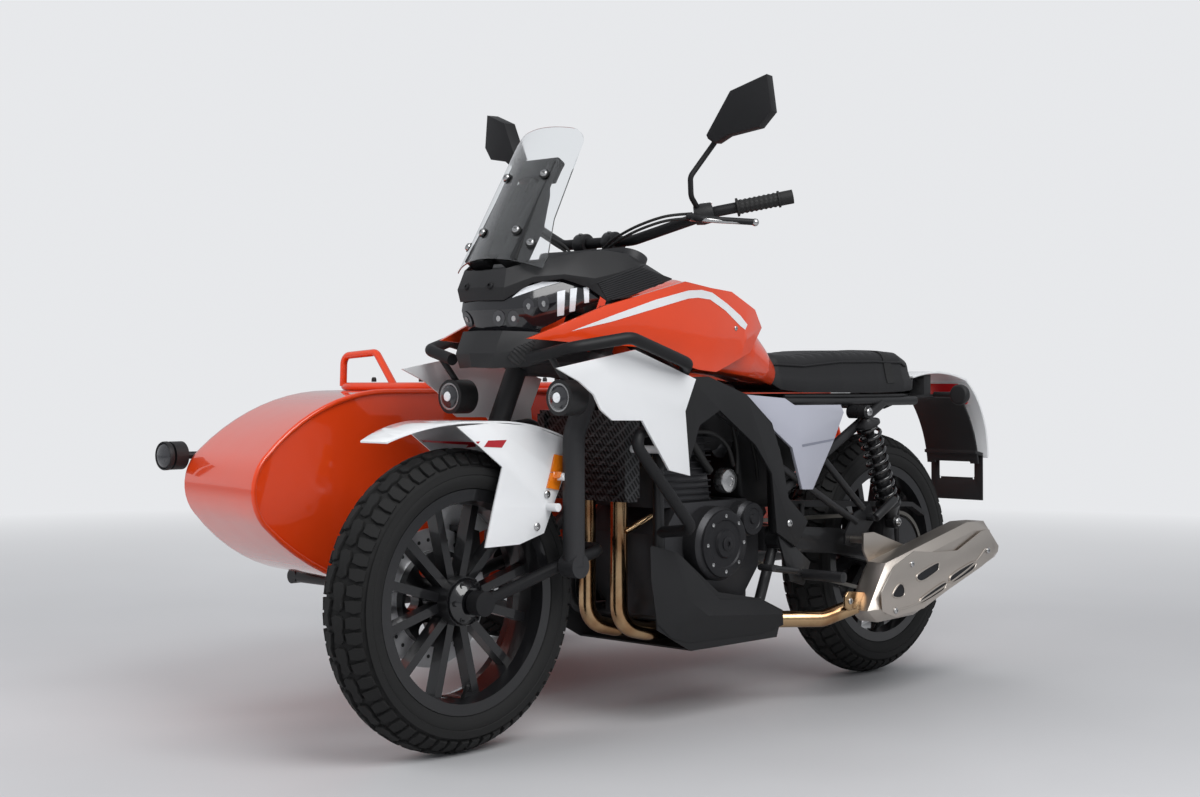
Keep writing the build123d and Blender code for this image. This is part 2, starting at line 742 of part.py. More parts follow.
with BuildPart() as fuel_tank:
    for y_share, low, shoulder, ridge, half, shoulder_half in tank_shares:
        wide = body_half_width * half
        foot = wide * tank_foot_share
        narrow = body_half_width * shoulder_half
        low_edge = saddle_height * low
        shoulder_edge = saddle_height * shoulder
        belly = (low_edge + shoulder_edge) / 2
        with BuildSketch(Plane.XZ.offset(-spot(y_share, 0)[0])) as section:
            with BuildLine():
                Line((bike_x - foot, low_edge), (bike_x + foot, low_edge))
                ThreePointArc(
                    (bike_x + foot, low_edge), (bike_x + wide, belly), (bike_x + narrow, shoulder_edge),
                )
                ThreePointArc(
                    (bike_x + narrow, shoulder_edge),
                    (bike_x, saddle_height * ridge),
                    (bike_x - narrow, shoulder_edge),
                )
                ThreePointArc(
                    (bike_x - narrow, shoulder_edge), (bike_x - wide, belly), (bike_x - foot, low_edge),
                )
            make_face()
    loft(ruled=True)
    add(main_frame.part, mode=Mode.SUBTRACT)

# Tank side panels

side_inner = body_half_width * 0.91
side_thickness = 9
tank_plan_shares = [(0.675, 0.946), (0.92, 0.709), (0.84, 0.443)]
tank_panel_shares = [
    (0.941, 1.021), (0.809, 1.107), (0.646, 1.178), (0.586, 1.165), (0.533, 1.158), (0.468, 1.113),
    (0.448, 1.064), (0.482, 0.995), (0.572, 0.941), (0.615, 0.947), (0.676, 0.969), (0.743, 1.004),
    (0.876, 1.014),
]
tank_panel_seat_shares = [(0.574, 1.035), (0.5, 1.035)]
panel_seat_radius = 12

with BuildPart() as tank_panels:
    bent_panel(tank_plan_shares, tank_panel_shares, side_thickness)
    for share in tank_panel_seat_shares:
        with BuildSketch(side_plane(side_inner)) as boss:
            with Locations(spot(*share)):
                Circle(panel_seat_radius)
        extrude(boss.sketch, amount=-(side_inner - body_half_width * tank_shares[-1][4]))
    mirror(about=middle_plane)
    add(fuel_tank.part, mode=Mode.SUBTRACT)

# Front shrouds beside the radiator

shroud_inner = body_half_width * 1.2
shroud_thickness = 6
shroud_shares = [
    (0.955, 0.948), (0.868, 0.975), (0.797, 0.995), (0.664, 0.922), (0.688, 0.839), (0.677, 0.672),
    (0.723, 0.689), (0.782, 0.818), (0.845, 0.82), (0.868, 0.847), (0.882, 0.884), (0.911, 0.916),
]
shroud_seat_share = (0.725, 0.741)
shroud_seat_radius = 9

with BuildPart() as front_shrouds:
    panel(shroud_shares, shroud_inner, shroud_thickness)
    with BuildSketch(side_plane(radiator_half_width)) as boss:
        with Locations(spot(*shroud_seat_share)):
            Circle(shroud_seat_radius)
    extrude(boss.sketch, amount=shroud_inner - radiator_half_width)
    mirror(about=middle_plane)

# Side panels under the seat

side_panel_inner = body_half_width * 0.83
side_panel_thickness = 8
side_panel_shares = [
    (0.492, 0.88), (0.389, 0.868), (0.363, 0.848), (0.238, 0.847), (0.229, 0.825), (0.255, 0.749),
    (0.314, 0.606), (0.342, 0.608), (0.369, 0.728), (0.45, 0.816),
]
side_seat_shares = [(0.324, 0.838, 0.27), (0.311, 0.659, 0.12)]
side_seat_radius = 7

with BuildPart() as side_panels:
    panel(side_panel_shares, side_panel_inner, side_panel_thickness)
    for y_share, z_share, depth_share in side_seat_shares:
        with BuildSketch(side_plane(side_panel_inner)) as boss:
            with Locations(spot(y_share, z_share)):
                Circle(side_seat_radius)
        extrude(boss.sketch, amount=-body_half_width * depth_share)
    mirror(about=middle_plane)
    add(sidecar_frame.part, mode=Mode.SUBTRACT)
    add(main_frame.part, mode=Mode.SUBTRACT)
    add(frame_covers.part, mode=Mode.SUBTRACT)

# Seat

seat_half_width = body_half_width * 0.63
seat_base = saddle_height * 0.94
seat_roll = 20
seat_shares = [
    (0.348, 0.935), (0.365, 1.005), (0.28, 0.998), (0.186, 1.011), (-0.002, 1.009), (-0.041, 0.985),
    (-0.057, 0.918), (-0.055, 0.873), (0.318, 0.873),
]

with BuildPart() as seat:
    panel(seat_shares, -seat_half_width, 2 * seat_half_width)
    rolled = seat.edges().filter_by(Axis.X, reverse=True).filter_by_position(
        Axis.Z,
        seat_base,
        2 * saddle_height,
    )
    fillet(rolled, seat_roll)
    add(main_frame.part, mode=Mode.SUBTRACT)
    add(fuel_tank.part, mode=Mode.SUBTRACT)

# Rear fender, a white outer shell over the seat's tail, with the black inner fender and plate bracket

fender_half_width = body_half_width * 0.46
fender_sheet = 6
rear_fender_routes = [
    [(-0.059, 0.928), (-0.152, 0.942), (-0.233, 0.918)],
    [(-0.233, 0.918), (-0.289, 0.812), (-0.31, 0.659)],
]
inner_fender_routes = [
    [(0.024, 0.833), (-0.098, 0.868), (-0.222, 0.86)],
    [(-0.222, 0.86), (-0.264, 0.759), (-0.285, 0.641)],
]
fender_seat_shares = [(-0.101, 0.865), (-0.122, 0.865), (-0.122, 0.936), (-0.101, 0.936)]
inner_half_width = body_half_width * 0.42
plate_shares = [
    (-0.274, 0.685), (-0.3, 0.676), (-0.301, 0.518), (-0.298, 0.518), (-0.297, 0.666), (-0.274, 0.675),
]
plate_half_width = body_half_width * 0.425
plate_hole_radius = 3.3
plate_hole_spacing = 110
plate_hole_z_share = 0.59
plate_window_share = (-0.297, 0.62)
plate_window = (118, 46)

with BuildPart() as rear_fender:
    bent_sheet(rear_fender_routes, fender_sheet, fender_half_width)
    add(seat.part, mode=Mode.SUBTRACT)

with BuildPart() as plate_bracket:
    bent_sheet(inner_fender_routes, fender_sheet, inner_half_width)
    panel(fender_seat_shares, -inner_half_width, 2 * inner_half_width)
    panel(plate_shares, -plate_half_width, 2 * plate_half_width)
    add(main_frame.part, mode=Mode.SUBTRACT)
    add(rear_fender.part, mode=Mode.SUBTRACT)
    add(seat.part, mode=Mode.SUBTRACT)
    plate_middle = (bike_x, saddle_height * plate_hole_z_share)
    with BuildSketch(Plane.XZ.offset(-(rear_axle_y + wheelbase))) as holes:
        with Locations(plate_middle):
            with GridLocations(plate_hole_spacing, 0, 2, 1):
                Circle(plate_hole_radius)
    extrude(holes.sketch, amount=2 * wheelbase, both=True, mode=Mode.SUBTRACT)
    with BuildSketch(Plane.XZ.offset(-spot(*plate_shares[0])[0])) as window:
        with Locations((bike_x, saddle_height * plate_window_share[1])):
            RectangleRounded(*plate_window, plate_hole_radius)
    extrude(window.sketch, amount=-wheelbase, mode=Mode.SUBTRACT)

# Tail lamp between seat and fender, with a round indicator each side

tail_lamp_half_width = body_half_width * 0.3
tail_lamp_shares = [(-0.236, 0.913), (-0.27, 0.838), (-0.28, 0.849), (-0.249, 0.929)]
indicator_radius = 28
indicator_stem_radius = 8
indicator_stem_share = (-0.135, 0.872)
indicator_front_share = (-0.127, 0.872)
indicator_offset = body_half_width * 0.825
indicator_depth = 22

with BuildPart() as rear_lamps:
    panel(tail_lamp_shares, -tail_lamp_half_width, 2 * tail_lamp_half_width)
    add(rear_fender.part, mode=Mode.SUBTRACT)
    with BuildSketch(side_plane(inner_half_width)) as stem:
        with Locations(spot(*indicator_stem_share)):
            Circle(indicator_stem_radius)
    extrude(stem.sketch, amount=indicator_offset - inner_half_width)
    lens_front, lens_height = spot(*indicator_front_share)
    with BuildSketch(Plane.XZ.offset(-lens_front)) as lens:
        with Locations((bike_x + indicator_offset, lens_height)):
            Circle(indicator_radius)
    extrude(lens.sketch, amount=-indicator_depth)
    fillet(rear_lamps.edges().filter_by(GeomType.CIRCLE).sort_by(SortBy.RADIUS)[-2:], indicator_depth / 3)
    mirror(about=middle_plane)
    add(plate_bracket.part, mode=Mode.SUBTRACT)

# Headlamp and the fairing around it: cowl above, beak below, and a stay from the steering head

cowl_low_share = 1.137
cowl_top_share = 1.260
nose_low_share = 0.948
lamp_low_share = 1.040
cowl_wall = 6
cowl_shares = [(0.0, 0.951), (0.35, 0.943), (0.71, 0.878), (0.87, 0.811), (0.91, 0.682)]
cowl_inner_shares = [(0.0, 0.946), (0.33, 0.938), (0.68, 0.877), (0.84, 0.811), (0.88, 0.642)]
cowl_floor_shares = [(0.0, 0.949), (0.34, 0.94), (0.695, 0.878), (0.855, 0.816)]
cowl_side_shares = [
    (0.959, 1.129), (0.959, 1.191), (0.899, 1.221), (0.796, 1.252), (0.75, 1.249), (0.682, 1.22),
    (0.716, 1.159), (0.747, 1.127), (0.787, 1.153), (0.831, 1.136),
]
lamp_low_shares = [(0.0, 0.938), (0.3, 0.93), (0.58, 0.878), (0.66, 0.841)]
lamp_high_shares = [(0.0, 0.949), (0.33, 0.941), (0.69, 0.873), (0.78, 0.819)]
beak_low_shares = [(0.0, 0.962), (0.26, 0.954), (0.56, 0.902), (0.64, 0.87)]
beak_high_shares = [(0.0, 0.954), (0.31, 0.945), (0.62, 0.893), (0.68, 0.854)]
stay_half_width = body_half_width * 0.21
stay_height = 36
stay_distance = 175
stay_reach = 125


def plan_face(shares, height):
    """Face seen from above at a height, the left half given by shares and the right its mirror image."""
    left = [plan(x_share, y_share) for x_share, y_share in shares]
    right = [(2 * bike_x - x, y) for x, y in reversed(left) if x > bike_x]
    with BuildSketch(Plane.XY.offset(height)) as face:
        with BuildLine():
            Polyline(*left, *right, close=True)
        make_face()
    return face.sketch


with BuildPart() as headlamp:
    lamp_foot = plan_face(lamp_low_shares, saddle_height * lamp_low_share)
    lamp_brow = plan_face(lamp_high_shares, saddle_height * cowl_low_share)
    loft([lamp_foot, lamp_brow], ruled=True)

with BuildPart() as fairing:
    cowl_height = saddle_height * (cowl_top_share - cowl_low_share)
    extrude(plan_face(cowl_shares, saddle_height * cowl_low_share), amount=cowl_height)
    extrude(
        plan_face(cowl_inner_shares, saddle_height * cowl_low_share),
        amount=cowl_height,
        mode=Mode.SUBTRACT,
    )
    extrude(plan_face(cowl_floor_shares, saddle_height * cowl_low_share), amount=cowl_wall)
    with BuildSketch(side_plane(-body_half_width)) as silhouette:
        side_outline(cowl_side_shares)
    extrude(silhouette.sketch, amount=2 * body_half_width, mode=Mode.INTERSECT)
    stay_start = steering_place(0, head_tube_radius - overrun, stay_distance)
    with BuildSketch(Plane(origin=stay_start, x_dir=(1, 0, 0), z_dir=axis_forward)) as stay:
        Rectangle(2 * stay_half_width, stay_height)
    extrude(stay.sketch, amount=stay_reach - head_tube_radius)
    beak_foot = plan_face(beak_low_shares, saddle_height * nose_low_share)
    beak_brow = plan_face(beak_high_shares, saddle_height * lamp_low_share)
    loft([beak_foot, beak_brow], ruled=True)
    add(main_frame.part, mode=Mode.SUBTRACT)
    add(headlamp.part, mode=Mode.SUBTRACT)
    add(tank_panels.part, mode=Mode.SUBTRACT)

# Windscreen, bent sheet leaning back over the cowl, narrower upwards with round corners

screen_half_width = body_half_width * 0.66
screen_sag = 46
screen_corner = 34
screen_outline_shares = [(1.0, -0.05), (1.0, 0.1), (0.88, 0.34), (0.79, 1.0)]
screen_foot_share = (0.936, 1.224)
screen_top_share = (0.814, 1.574)

with BuildPart() as windscreen:
    foot = at(0, *screen_foot_share)
    top = at(0, *screen_top_share)
    rise = (top - foot).normalized()
    screen_length = (top - foot).length
    corner_sag = screen_sag + pane
    with BuildSketch(Plane(origin=foot, x_dir=(1, 0, 0), z_dir=rise)) as low_edge:
        with BuildLine():
            ThreePointArc((-screen_half_width, screen_sag), (0, 0), (screen_half_width, screen_sag))
            Line((screen_half_width, screen_sag), (screen_half_width, corner_sag))
            ThreePointArc((screen_half_width, corner_sag), (0, pane), (-screen_half_width, corner_sag))
            Line((-screen_half_width, corner_sag), (-screen_half_width, screen_sag))
        make_face()
    extrude(low_edge.sketch, amount=screen_length)
    with BuildSketch(Plane(origin=foot, x_dir=(1, 0, 0), z_dir=Vector(1, 0, 0).cross(rise))) as front:
        right_edge = [(screen_half_width * x, screen_length * y) for x, y in screen_outline_shares]
        with BuildLine():
            Polyline(*right_edge, *[(-x, y) for x, y in reversed(right_edge)], close=True)
        make_face()
        fillet(front.vertices().group_by(Axis.Y)[-1], screen_corner)
    extrude(front.sketch, amount=2 * screen_sag, both=True, mode=Mode.INTERSECT)
    add(fairing.part, mode=Mode.SUBTRACT)

# Upper crash bars

bar_radius = 13
upper_bar_bend = 45
upper_bar_shares = [
    (0.6, 0.927, 0.972), (1.125, 0.912, 0.998), (1.425, 0.834, 1.024), (1.36, 0.703, 0.962),
    (0.8, 0.632, 0.925),
]
lower_bar_shares = [
    (0.7, 0.669, 0.694), (1.075, 0.703, 0.8), (1.1, 0.791, 0.781), (1.225, 0.669, 0.532),
    (0.7, 0.667, 0.518),
]
lower_bar_bend = 26

with BuildPart() as upper_crash_bars:
    tube([at(*share) for share in upper_bar_shares], bar_radius, upper_bar_bend)
    mirror(about=middle_plane)
    add(main_frame.part, mode=Mode.SUBTRACT)
    add(fairing.part, mode=Mode.SUBTRACT)
    add(frame_covers.part, mode=Mode.SUBTRACT)
    add(tank_panels.part, mode=Mode.SUBTRACT)

with BuildPart() as lower_crash_bars:
    tube([at(*share) for share in lower_bar_shares], bar_radius, lower_bar_bend)
    mirror(about=middle_plane)
    add(sidecar_frame.part, mode=Mode.SUBTRACT)
    add(main_frame.part, mode=Mode.SUBTRACT)

# Fog lamps on posts from the upper bars

fog_radius = 38
fog_depth = 52
fog_share = (0.86, 0.902, 0.876)
fog_post_shares = [(0.86, 0.886, 0.912), (0.86, 0.923, 0.986)]
fog_post_radius = 7

with BuildPart() as fog_lamps:
    with BuildSketch(Plane.XZ.offset(-at(*fog_share).Y)) as face:
        with Locations((at(*fog_share).X, at(*fog_share).Z)):
            Circle(fog_radius)
    extrude(face.sketch, amount=-fog_depth)
    tube([at(*share) for share in fog_post_shares], fog_post_radius)
    mirror(about=middle_plane)
    add(upper_crash_bars.part, mode=Mode.SUBTRACT)

# Sidecar tub of sheet panels: inner side, deck with two openings, wrapped skin, bulkhead and seat pan

tub_wall = 4
deck_share = 0.888
outer_deck_share = 0.847
outer_floor_share = 0.394
# Side outlines of the tub: sideways share, then deck end, deck front, brow, nose top, nose, nose foot, chin,
# floor front, floor end, tail and tail top
tub_sections = [
    (
        0.345,
        [
            (-0.243, 0.888), (0.899, 0.888), (1.041, 0.829), (1.122, 0.729), (1.149, 0.64), (1.122, 0.535),
            (1.007, 0.407), (0.845, 0.353), (-0.169, 0.353), (-0.267, 0.435), (-0.304, 0.635),
        ],
    ),
    (
        0.735,
        [
            (-0.243, 0.888), (0.777, 0.888), (0.939, 0.829), (1.037, 0.724), (1.064, 0.641), (1.046, 0.544),
            (0.946, 0.407), (0.784, 0.353), (-0.169, 0.353), (-0.264, 0.435), (-0.297, 0.635),
        ],
    ),
    (
        0.819,
        [
            (-0.223, 0.847), (0.709, 0.847), (0.811, 0.807), (0.877, 0.724), (0.899, 0.645), (0.884, 0.559),
            (0.818, 0.449), (0.73, 0.394), (-0.149, 0.394), (-0.226, 0.459), (-0.253, 0.612),
        ],
    ),
]
cockpit_x_shares = (0.40, 0.72)
cockpit_y_shares = (0.77, 0.25)
trunk_y_shares = (0.150, -0.190)
cockpit_corner = 90
trunk_corner = 40
bulkhead_y_share = 0.205
pan_front_y_share = 0.581
pan_height_share = 0.453
deck = saddle_height * deck_share
floor_top = saddle_height * tub_floor_share + tub_wall
deck_inset = 12

# Hinge of the trunk lid: its line on the deck, its barrels and pin
lid_lap = 16
lid_thickness = 6
hinge_radius = 7
hinge_play = 1
hinge_lift = 8
hinge_inset = 0.5
hinge_pin_radius = 3
hinge_bore_gap = 0.5
knuckle_length = 26
leaf_length = 12
hinge_x_shares = (0.45, 0.67)
hinge_y = rear_axle_y - wheelbase * trunk_y_shares[0] - lid_lap - hinge_radius + hinge_inset
hinge_z = deck + hinge_lift


def tub_face(shares, plane):
    """Side outline of the tub as a face: straight deck and floor, round nose and tail."""
    places = [spot(*share) for share in shares]
    deck_end, deck_front, brow, nose_top, nose, nose_foot, *floor_places = places
    chin, floor_front, floor_end, tail, tail_top = floor_places
    with BuildSketch(plane) as face:
        with BuildLine():
            Line(deck_end, deck_front)
            ThreePointArc(deck_front, brow, nose_top)
            ThreePointArc(nose_top, nose, nose_foot)
            ThreePointArc(nose_foot, chin, floor_front)
            Line(floor_front, floor_end)
            ThreePointArc(floor_end, tail, tail_top)
            Line(tail_top, deck_end)
        make_face()
    return face.sketch


def opening(y_shares, corner):
    """Rounded opening cut through the deck."""
    width = track * (cockpit_x_shares[1] - cockpit_x_shares[0])
    length = wheelbase * (y_shares[0] - y_shares[1])
    middle = (bike_x - track * sum(cockpit_x_shares) / 2, rear_axle_y - wheelbase * sum(y_shares) / 2)
    with BuildSketch(Plane.XY.offset(deck + overrun)) as hole:
        with Locations(middle):
            RectangleRounded(width, length, corner)
    extrude(hole.sketch, amount=-tub_wall - 2 * overrun, mode=Mode.SUBTRACT)


def barrel(start_x, length, radius):
    """Round bar on the hinge line of the trunk lid."""
    with BuildSketch(Plane.YZ.offset(start_x)) as face:
        with Locations((hinge_y, hinge_z)):
            Circle(radius)
    extrude(face.sketch, amount=length)


wall_x = bike_x - track * tub_sections[0][0] - tub_wall
edge_x = bike_x - track * tub_sections[1][0]
deck_corners = [
    (bike_x - track * tub_sections[0][0], spot(*tub_sections[0][1][1])[0] + deck_inset),
    (bike_x - track * tub_sections[0][0], spot(*tub_sections[0][1][0])[0] - deck_inset),
    (edge_x + deck_inset, spot(*tub_sections[0][1][0])[0] - deck_inset),
    (edge_x + deck_inset, spot(*tub_sections[1][1][1])[0] + deck_inset),
]


def deck_plate(start, thickness, mode):
    """Plate with the outline of the deck."""
    with BuildSketch(Plane.XY.offset(start)) as plate:
        with BuildLine():
            Polyline(*deck_corners, close=True)
        make_face()
    extrude(plate.sketch, amount=thickness, mode=mode)


with BuildPart() as sidecar_tub:
    outer_faces = [
        tub_face(shares, Plane.YZ.offset(bike_x - track * x_share)) for x_share, shares in tub_sections
    ]
    tub_envelope = loft(outer_faces, ruled=True)
    inner_faces = []
    for (x_share, shares), shift in zip(tub_sections, (overrun, 0, tub_wall)):
        whole = tub_face(shares, Plane.YZ.offset(bike_x - track * x_share + shift))
        inner_faces.append(offset(whole, amount=-tub_wall, kind=Kind.INTERSECTION, mode=Mode.PRIVATE))
    loft(inner_faces, ruled=True, mode=Mode.SUBTRACT)
    deck_plate(deck - tub_wall - overrun, tub_wall + 2 * overrun, Mode.SUBTRACT)

with BuildPart() as sidecar_deck:
    deck_plate(deck - tub_wall, tub_wall, Mode.ADD)
    add(sidecar_tub.part, mode=Mode.SUBTRACT)
    opening(cockpit_y_shares, cockpit_corner)
    opening(trunk_y_shares, trunk_corner)
    for x_share in hinge_x_shares:
        hinge_x = bike_x - track * x_share
        half_hinge = knuckle_length / 2 + hinge_bore_gap + leaf_length
        barrel(hinge_x - half_hinge, 2 * half_hinge, hinge_pin_radius)
        for start in (hinge_x - half_hinge, hinge_x + half_hinge - leaf_length):
            barrel(start, leaf_length, hinge_radius - hinge_play)
            with BuildSketch(Plane.YZ.offset(start)) as foot:
                with Locations((hinge_y, (deck + hinge_z) / 2)):
                    Rectangle(2 * (hinge_radius - hinge_play), hinge_lift)
            extrude(foot.sketch, amount=leaf_length)

with BuildPart() as sidecar_side:
    extrude(
        tub_face(tub_sections[0][1], Plane.YZ.offset(bike_x - track * tub_sections[0][0])),
        amount=-tub_wall,
    )
    add(tub_envelope, mode=Mode.INTERSECT)
    add(sidecar_tub.part, mode=Mode.SUBTRACT)
    add(sidecar_deck.part, mode=Mode.SUBTRACT)

with BuildPart() as sidecar_bulkhead:
    outer_x = bike_x - track * tub_sections[2][0] + tub_wall
    outer_top = saddle_height * outer_deck_share - tub_wall
    outer_foot = saddle_height * outer_floor_share + tub_wall
    with BuildSketch(Plane.XZ.offset(-spot(bulkhead_y_share, 0)[0])) as bulkhead:
        with BuildLine():
            Polyline(
                (wall_x, deck - tub_wall),
                (edge_x, deck - tub_wall),
                (outer_x, outer_top),
                (outer_x, outer_foot),
                (edge_x, floor_top),
                (wall_x, floor_top),
                close=True,
            )
        make_face()
        offset(amount=-seat_gap, kind=Kind.INTERSECTION, mode=Mode.REPLACE)
    extrude(bulkhead.sketch, amount=-tub_wall)
    pan_front = spot(pan_front_y_share, 0)[0]
    pan_rear = spot(bulkhead_y_share, 0)[0]
    pan_top = saddle_height * pan_height_share
    pan_foot = floor_top + seat_gap
    with BuildSketch(Plane.YZ.offset(bike_x - track * cockpit_x_shares[1])) as pan:
        with BuildLine():
            Polyline(
                (pan_front, pan_foot),
                (pan_front, pan_top),
                (pan_rear, pan_top),
                (pan_rear, pan_top - tub_wall),
                (pan_front + tub_wall, pan_top - tub_wall),
                (pan_front + tub_wall, pan_foot),
                close=True,
            )
        make_face()
    extrude(pan.sketch, amount=track * (cockpit_x_shares[1] - cockpit_x_shares[0]))

# Coaming tube round the cockpit with the grab rail over its front

coaming_radius = 10
grab_radius = 9
grab_bend = 24
grab_shares = [(0.69, 0.77, 0.901), (0.687, 0.77, 0.991), (0.576, 0.77, 1.0), (0.509, 0.774, 0.901)]

with BuildPart() as sidecar_coaming:
    width = track * (cockpit_x_shares[1] - cockpit_x_shares[0])
    left_x, right_x = [bike_x - track * x_share for x_share in cockpit_x_shares]
    front_y, rear_y = [rear_axle_y - wheelbase * y_share for y_share in cockpit_y_shares]
    tube_z = deck + seat_gap + coaming_radius
    with BuildLine() as loop:
        FilletPolyline(
            (left_x + coaming_radius, rear_y + coaming_radius, tube_z),
            (left_x + coaming_radius, front_y - coaming_radius, tube_z),
            (right_x - coaming_radius, front_y - coaming_radius, tube_z),
            (right_x - coaming_radius, rear_y + coaming_radius, tube_z),
            radius=cockpit_corner + coaming_radius,
            close=True,
        )
    with BuildSketch(Plane(origin=loop.line @ 0, z_dir=loop.line % 0)) as section:
        Circle(coaming_radius)
    sweep(section.sketch, path=loop.line)
    tube([beside(*share) for share in grab_shares], grab_radius, grab_bend)

# Sidecar seat and backrest cushions

cushion_side_gap = 12
cushion_shares = [(0.564, 0.453), (0.564, 0.559), (0.284, 0.535), (0.284, 0.453)]
backrest_shares = [(0.283, 0.453), (0.283, 0.545), (0.26, 0.865), (0.208, 0.865), (0.208, 0.453)]
cushion_width = width - 2 * cushion_side_gap
cushion_plane = Plane.YZ.offset(bike_x - track * cockpit_x_shares[1] + cushion_side_gap)

with BuildPart() as sidecar_seat:
    with BuildSketch(cushion_plane) as side:
        side_outline(cushion_shares)
    extrude(side.sketch, amount=cushion_width)

with BuildPart() as sidecar_backrest:
    with BuildSketch(cushion_plane) as side:
        side_outline(backrest_shares)
    extrude(side.sketch, amount=cushion_width)

# Sidecar fender over its wheel, on two posts from the tub's side

arch_radius = 352
arch_inner = 0.925
arch_outer = 1.078
arch_post_turns = (60, 115)
arch_post_radius = 9
arch_start = -8
arch_sweep = 196

with BuildPart() as sidecar_fender:
    with BuildSketch(Plane.YZ.offset(bike_x - track * arch_outer)) as arch:
        with BuildLine():
            outer = CenterArc((sidecar_axle.Y, sidecar_axle.Z), arch_radius + sheet, arch_start, arch_sweep)
            inner = CenterArc((sidecar_axle.Y, sidecar_axle.Z), arch_radius, arch_start, arch_sweep)
            Line(outer @ 0, inner @ 0)
            Line(outer @ 1, inner @ 1)
        make_face()
    extrude(arch.sketch, amount=track * (arch_outer - arch_inner))
    for turn in arch_post_turns:
        reach = arch_radius + sheet / 2
        post_y = sidecar_axle.Y + reach * cos(radians(turn))
        post_z = sidecar_axle.Z + reach * sin(radians(turn))
        with BuildSketch(Plane.YZ.offset(bike_x - track * arch_inner - sheet)) as post:
            with Locations((post_y, post_z)):
                Circle(arch_post_radius)
        extrude(post.sketch, amount=track * (arch_inner - tub_sections[2][0]) + sheet)

# Sidecar lamps, one on the nose and one at the tail

nose_lamp_radius = 34
nose_lamp_depth = 34
nose_lamp_share = (0.772, 1.074, 0.706)
nose_bracket_shares = [(0.772, 1.062, 0.706), (0.752, 1.013, 0.706)]
tail_light_share = (0.534, -0.323, 0.682)
tail_light_radius = 30
tail_light_depth = 60

with BuildPart() as sidecar_lamps:
    with BuildSketch(Plane.XZ.offset(-beside(*nose_lamp_share).Y)) as lens:
        with Locations((beside(*nose_lamp_share).X, beside(*nose_lamp_share).Z)):
            Circle(nose_lamp_radius)
    extrude(lens.sketch, amount=-nose_lamp_depth)
    tube([beside(*share) for share in nose_bracket_shares], arch_post_radius)
    with BuildSketch(Plane.XZ.offset(-beside(*tail_light_share).Y)) as tail:
        with Locations((beside(*tail_light_share).X, beside(*tail_light_share).Z)):
            Circle(tail_light_radius)
    extrude(tail.sketch, amount=tail_light_depth)
    add(tub_envelope, mode=Mode.SUBTRACT)

# Sidecar wheel carrier: trailing arm with its axle and a coil shock

carrier_inner = 0.869
carrier_thickness = 24
carrier_shares = [
    (0.432, 0.365), (0.405, 0.4), (0.149, 0.412), (0.128, 0.376), (0.149, 0.341), (0.405, 0.3),
    (0.432, 0.318),
]
sidecar_shock_shares = [(0.881, 0.284, 0.753), (0.881, 0.216, 0.453)]
stub_reach = 1.048
shock_mount_shares = [
    [(0.881, 0.284, 0.753), (0.819, 0.284, 0.753)],
    [(0.881, 0.216, 0.453), (0.881, 0.203, 0.394)],
]

with BuildPart() as sidecar_suspension:
    with BuildSketch(Plane.YZ.offset(bike_x - track * carrier_inner - carrier_thickness)) as arm:
        side_outline(carrier_shares)
    extrude(arm.sketch, amount=carrier_thickness)
    with BuildSketch(Plane.YZ.offset(bike_x - track * stub_reach)) as stub:
        with Locations((sidecar_axle.Y, sidecar_axle.Z)):
            Circle(axle_radius)
    extrude(stub.sketch, amount=track * (stub_reach - carrier_inner) - overrun)
    coil_shock(
        beside(*sidecar_shock_shares[0]),
        beside(*sidecar_shock_shares[1]),
        shock_eye_radius,
        spring_turns,
    )
    for shares in shock_mount_shares:
        tube([beside(*share) for share in shares], arch_post_radius)
    add(sidecar_frame.part, mode=Mode.SUBTRACT)

# Trunk lid over its opening, hinged at the front edge

with BuildPart() as trunk_lid:
    lid_length = wheelbase * (trunk_y_shares[0] - trunk_y_shares[1]) + 2 * lid_lap
    lid_middle = (
        bike_x - track * sum(cockpit_x_shares) / 2,
        rear_axle_y - wheelbase * sum(trunk_y_shares) / 2,
    )
    with BuildSketch(Plane.XY.offset(deck + seat_gap)) as lid:
        with Locations(lid_middle):
            RectangleRounded(width + 2 * lid_lap, lid_length, trunk_corner)
    extrude(lid.sketch, amount=lid_thickness)
    for x_share in hinge_x_shares:
        hinge_x = bike_x - track * x_share
        barrel(hinge_x - knuckle_length / 2, knuckle_length, hinge_radius)
        with BuildSketch(Plane.YZ.offset(hinge_x - knuckle_length)) as bore:
            with Locations((hinge_y, hinge_z)):
                Circle(hinge_pin_radius + hinge_bore_gap)
        extrude(bore.sketch, amount=2 * knuckle_length, mode=Mode.SUBTRACT)

# Fork crowns with the steering stem and handlebar clamps

with BuildPart() as fork_crowns:
    for start in (upper_crown_start, lower_crown_start):
        with BuildSketch(steering_plane(start)) as plate:
            with BuildLine():
                CenterArc((0, 0), crown_middle_radius, 0, 360)
                CenterArc((-leg_spacing, leg_forward), crown_end_radius, 0, 360)
                CenterArc((leg_spacing, leg_forward), crown_end_radius, 0, 360)
            make_hull()
            with Locations((-leg_spacing, leg_forward), (leg_spacing, leg_forward)):
                Circle(leg_radius + seat_gap / 2, mode=Mode.SUBTRACT)
        extrude(plate.sketch, amount=crown_thickness)
    with BuildSketch(steering_plane(upper_crown_start)) as stem:
        Circle(stem_radius)
    extrude(stem.sketch, amount=lower_crown_start + crown_thickness - upper_crown_start)

# Fork legs, raked above the knee and upright below it

with BuildPart() as fork_legs:
    top = steering_place(leg_spacing, leg_forward, upper_crown_start - overrun)
    knee = steering_place(leg_spacing, leg_forward, knee_distance)
    foot = Vector(knee.X, knee.Y, link_pivot_height)
    tube([top, knee, foot], leg_radius, knee_bend)
    disc(foot, leg_radius + overrun, leg_radius - overrun)
    mirror(about=middle_plane)

# Leading link: an arm each side from the axle past the leg's foot, joined behind the wheel

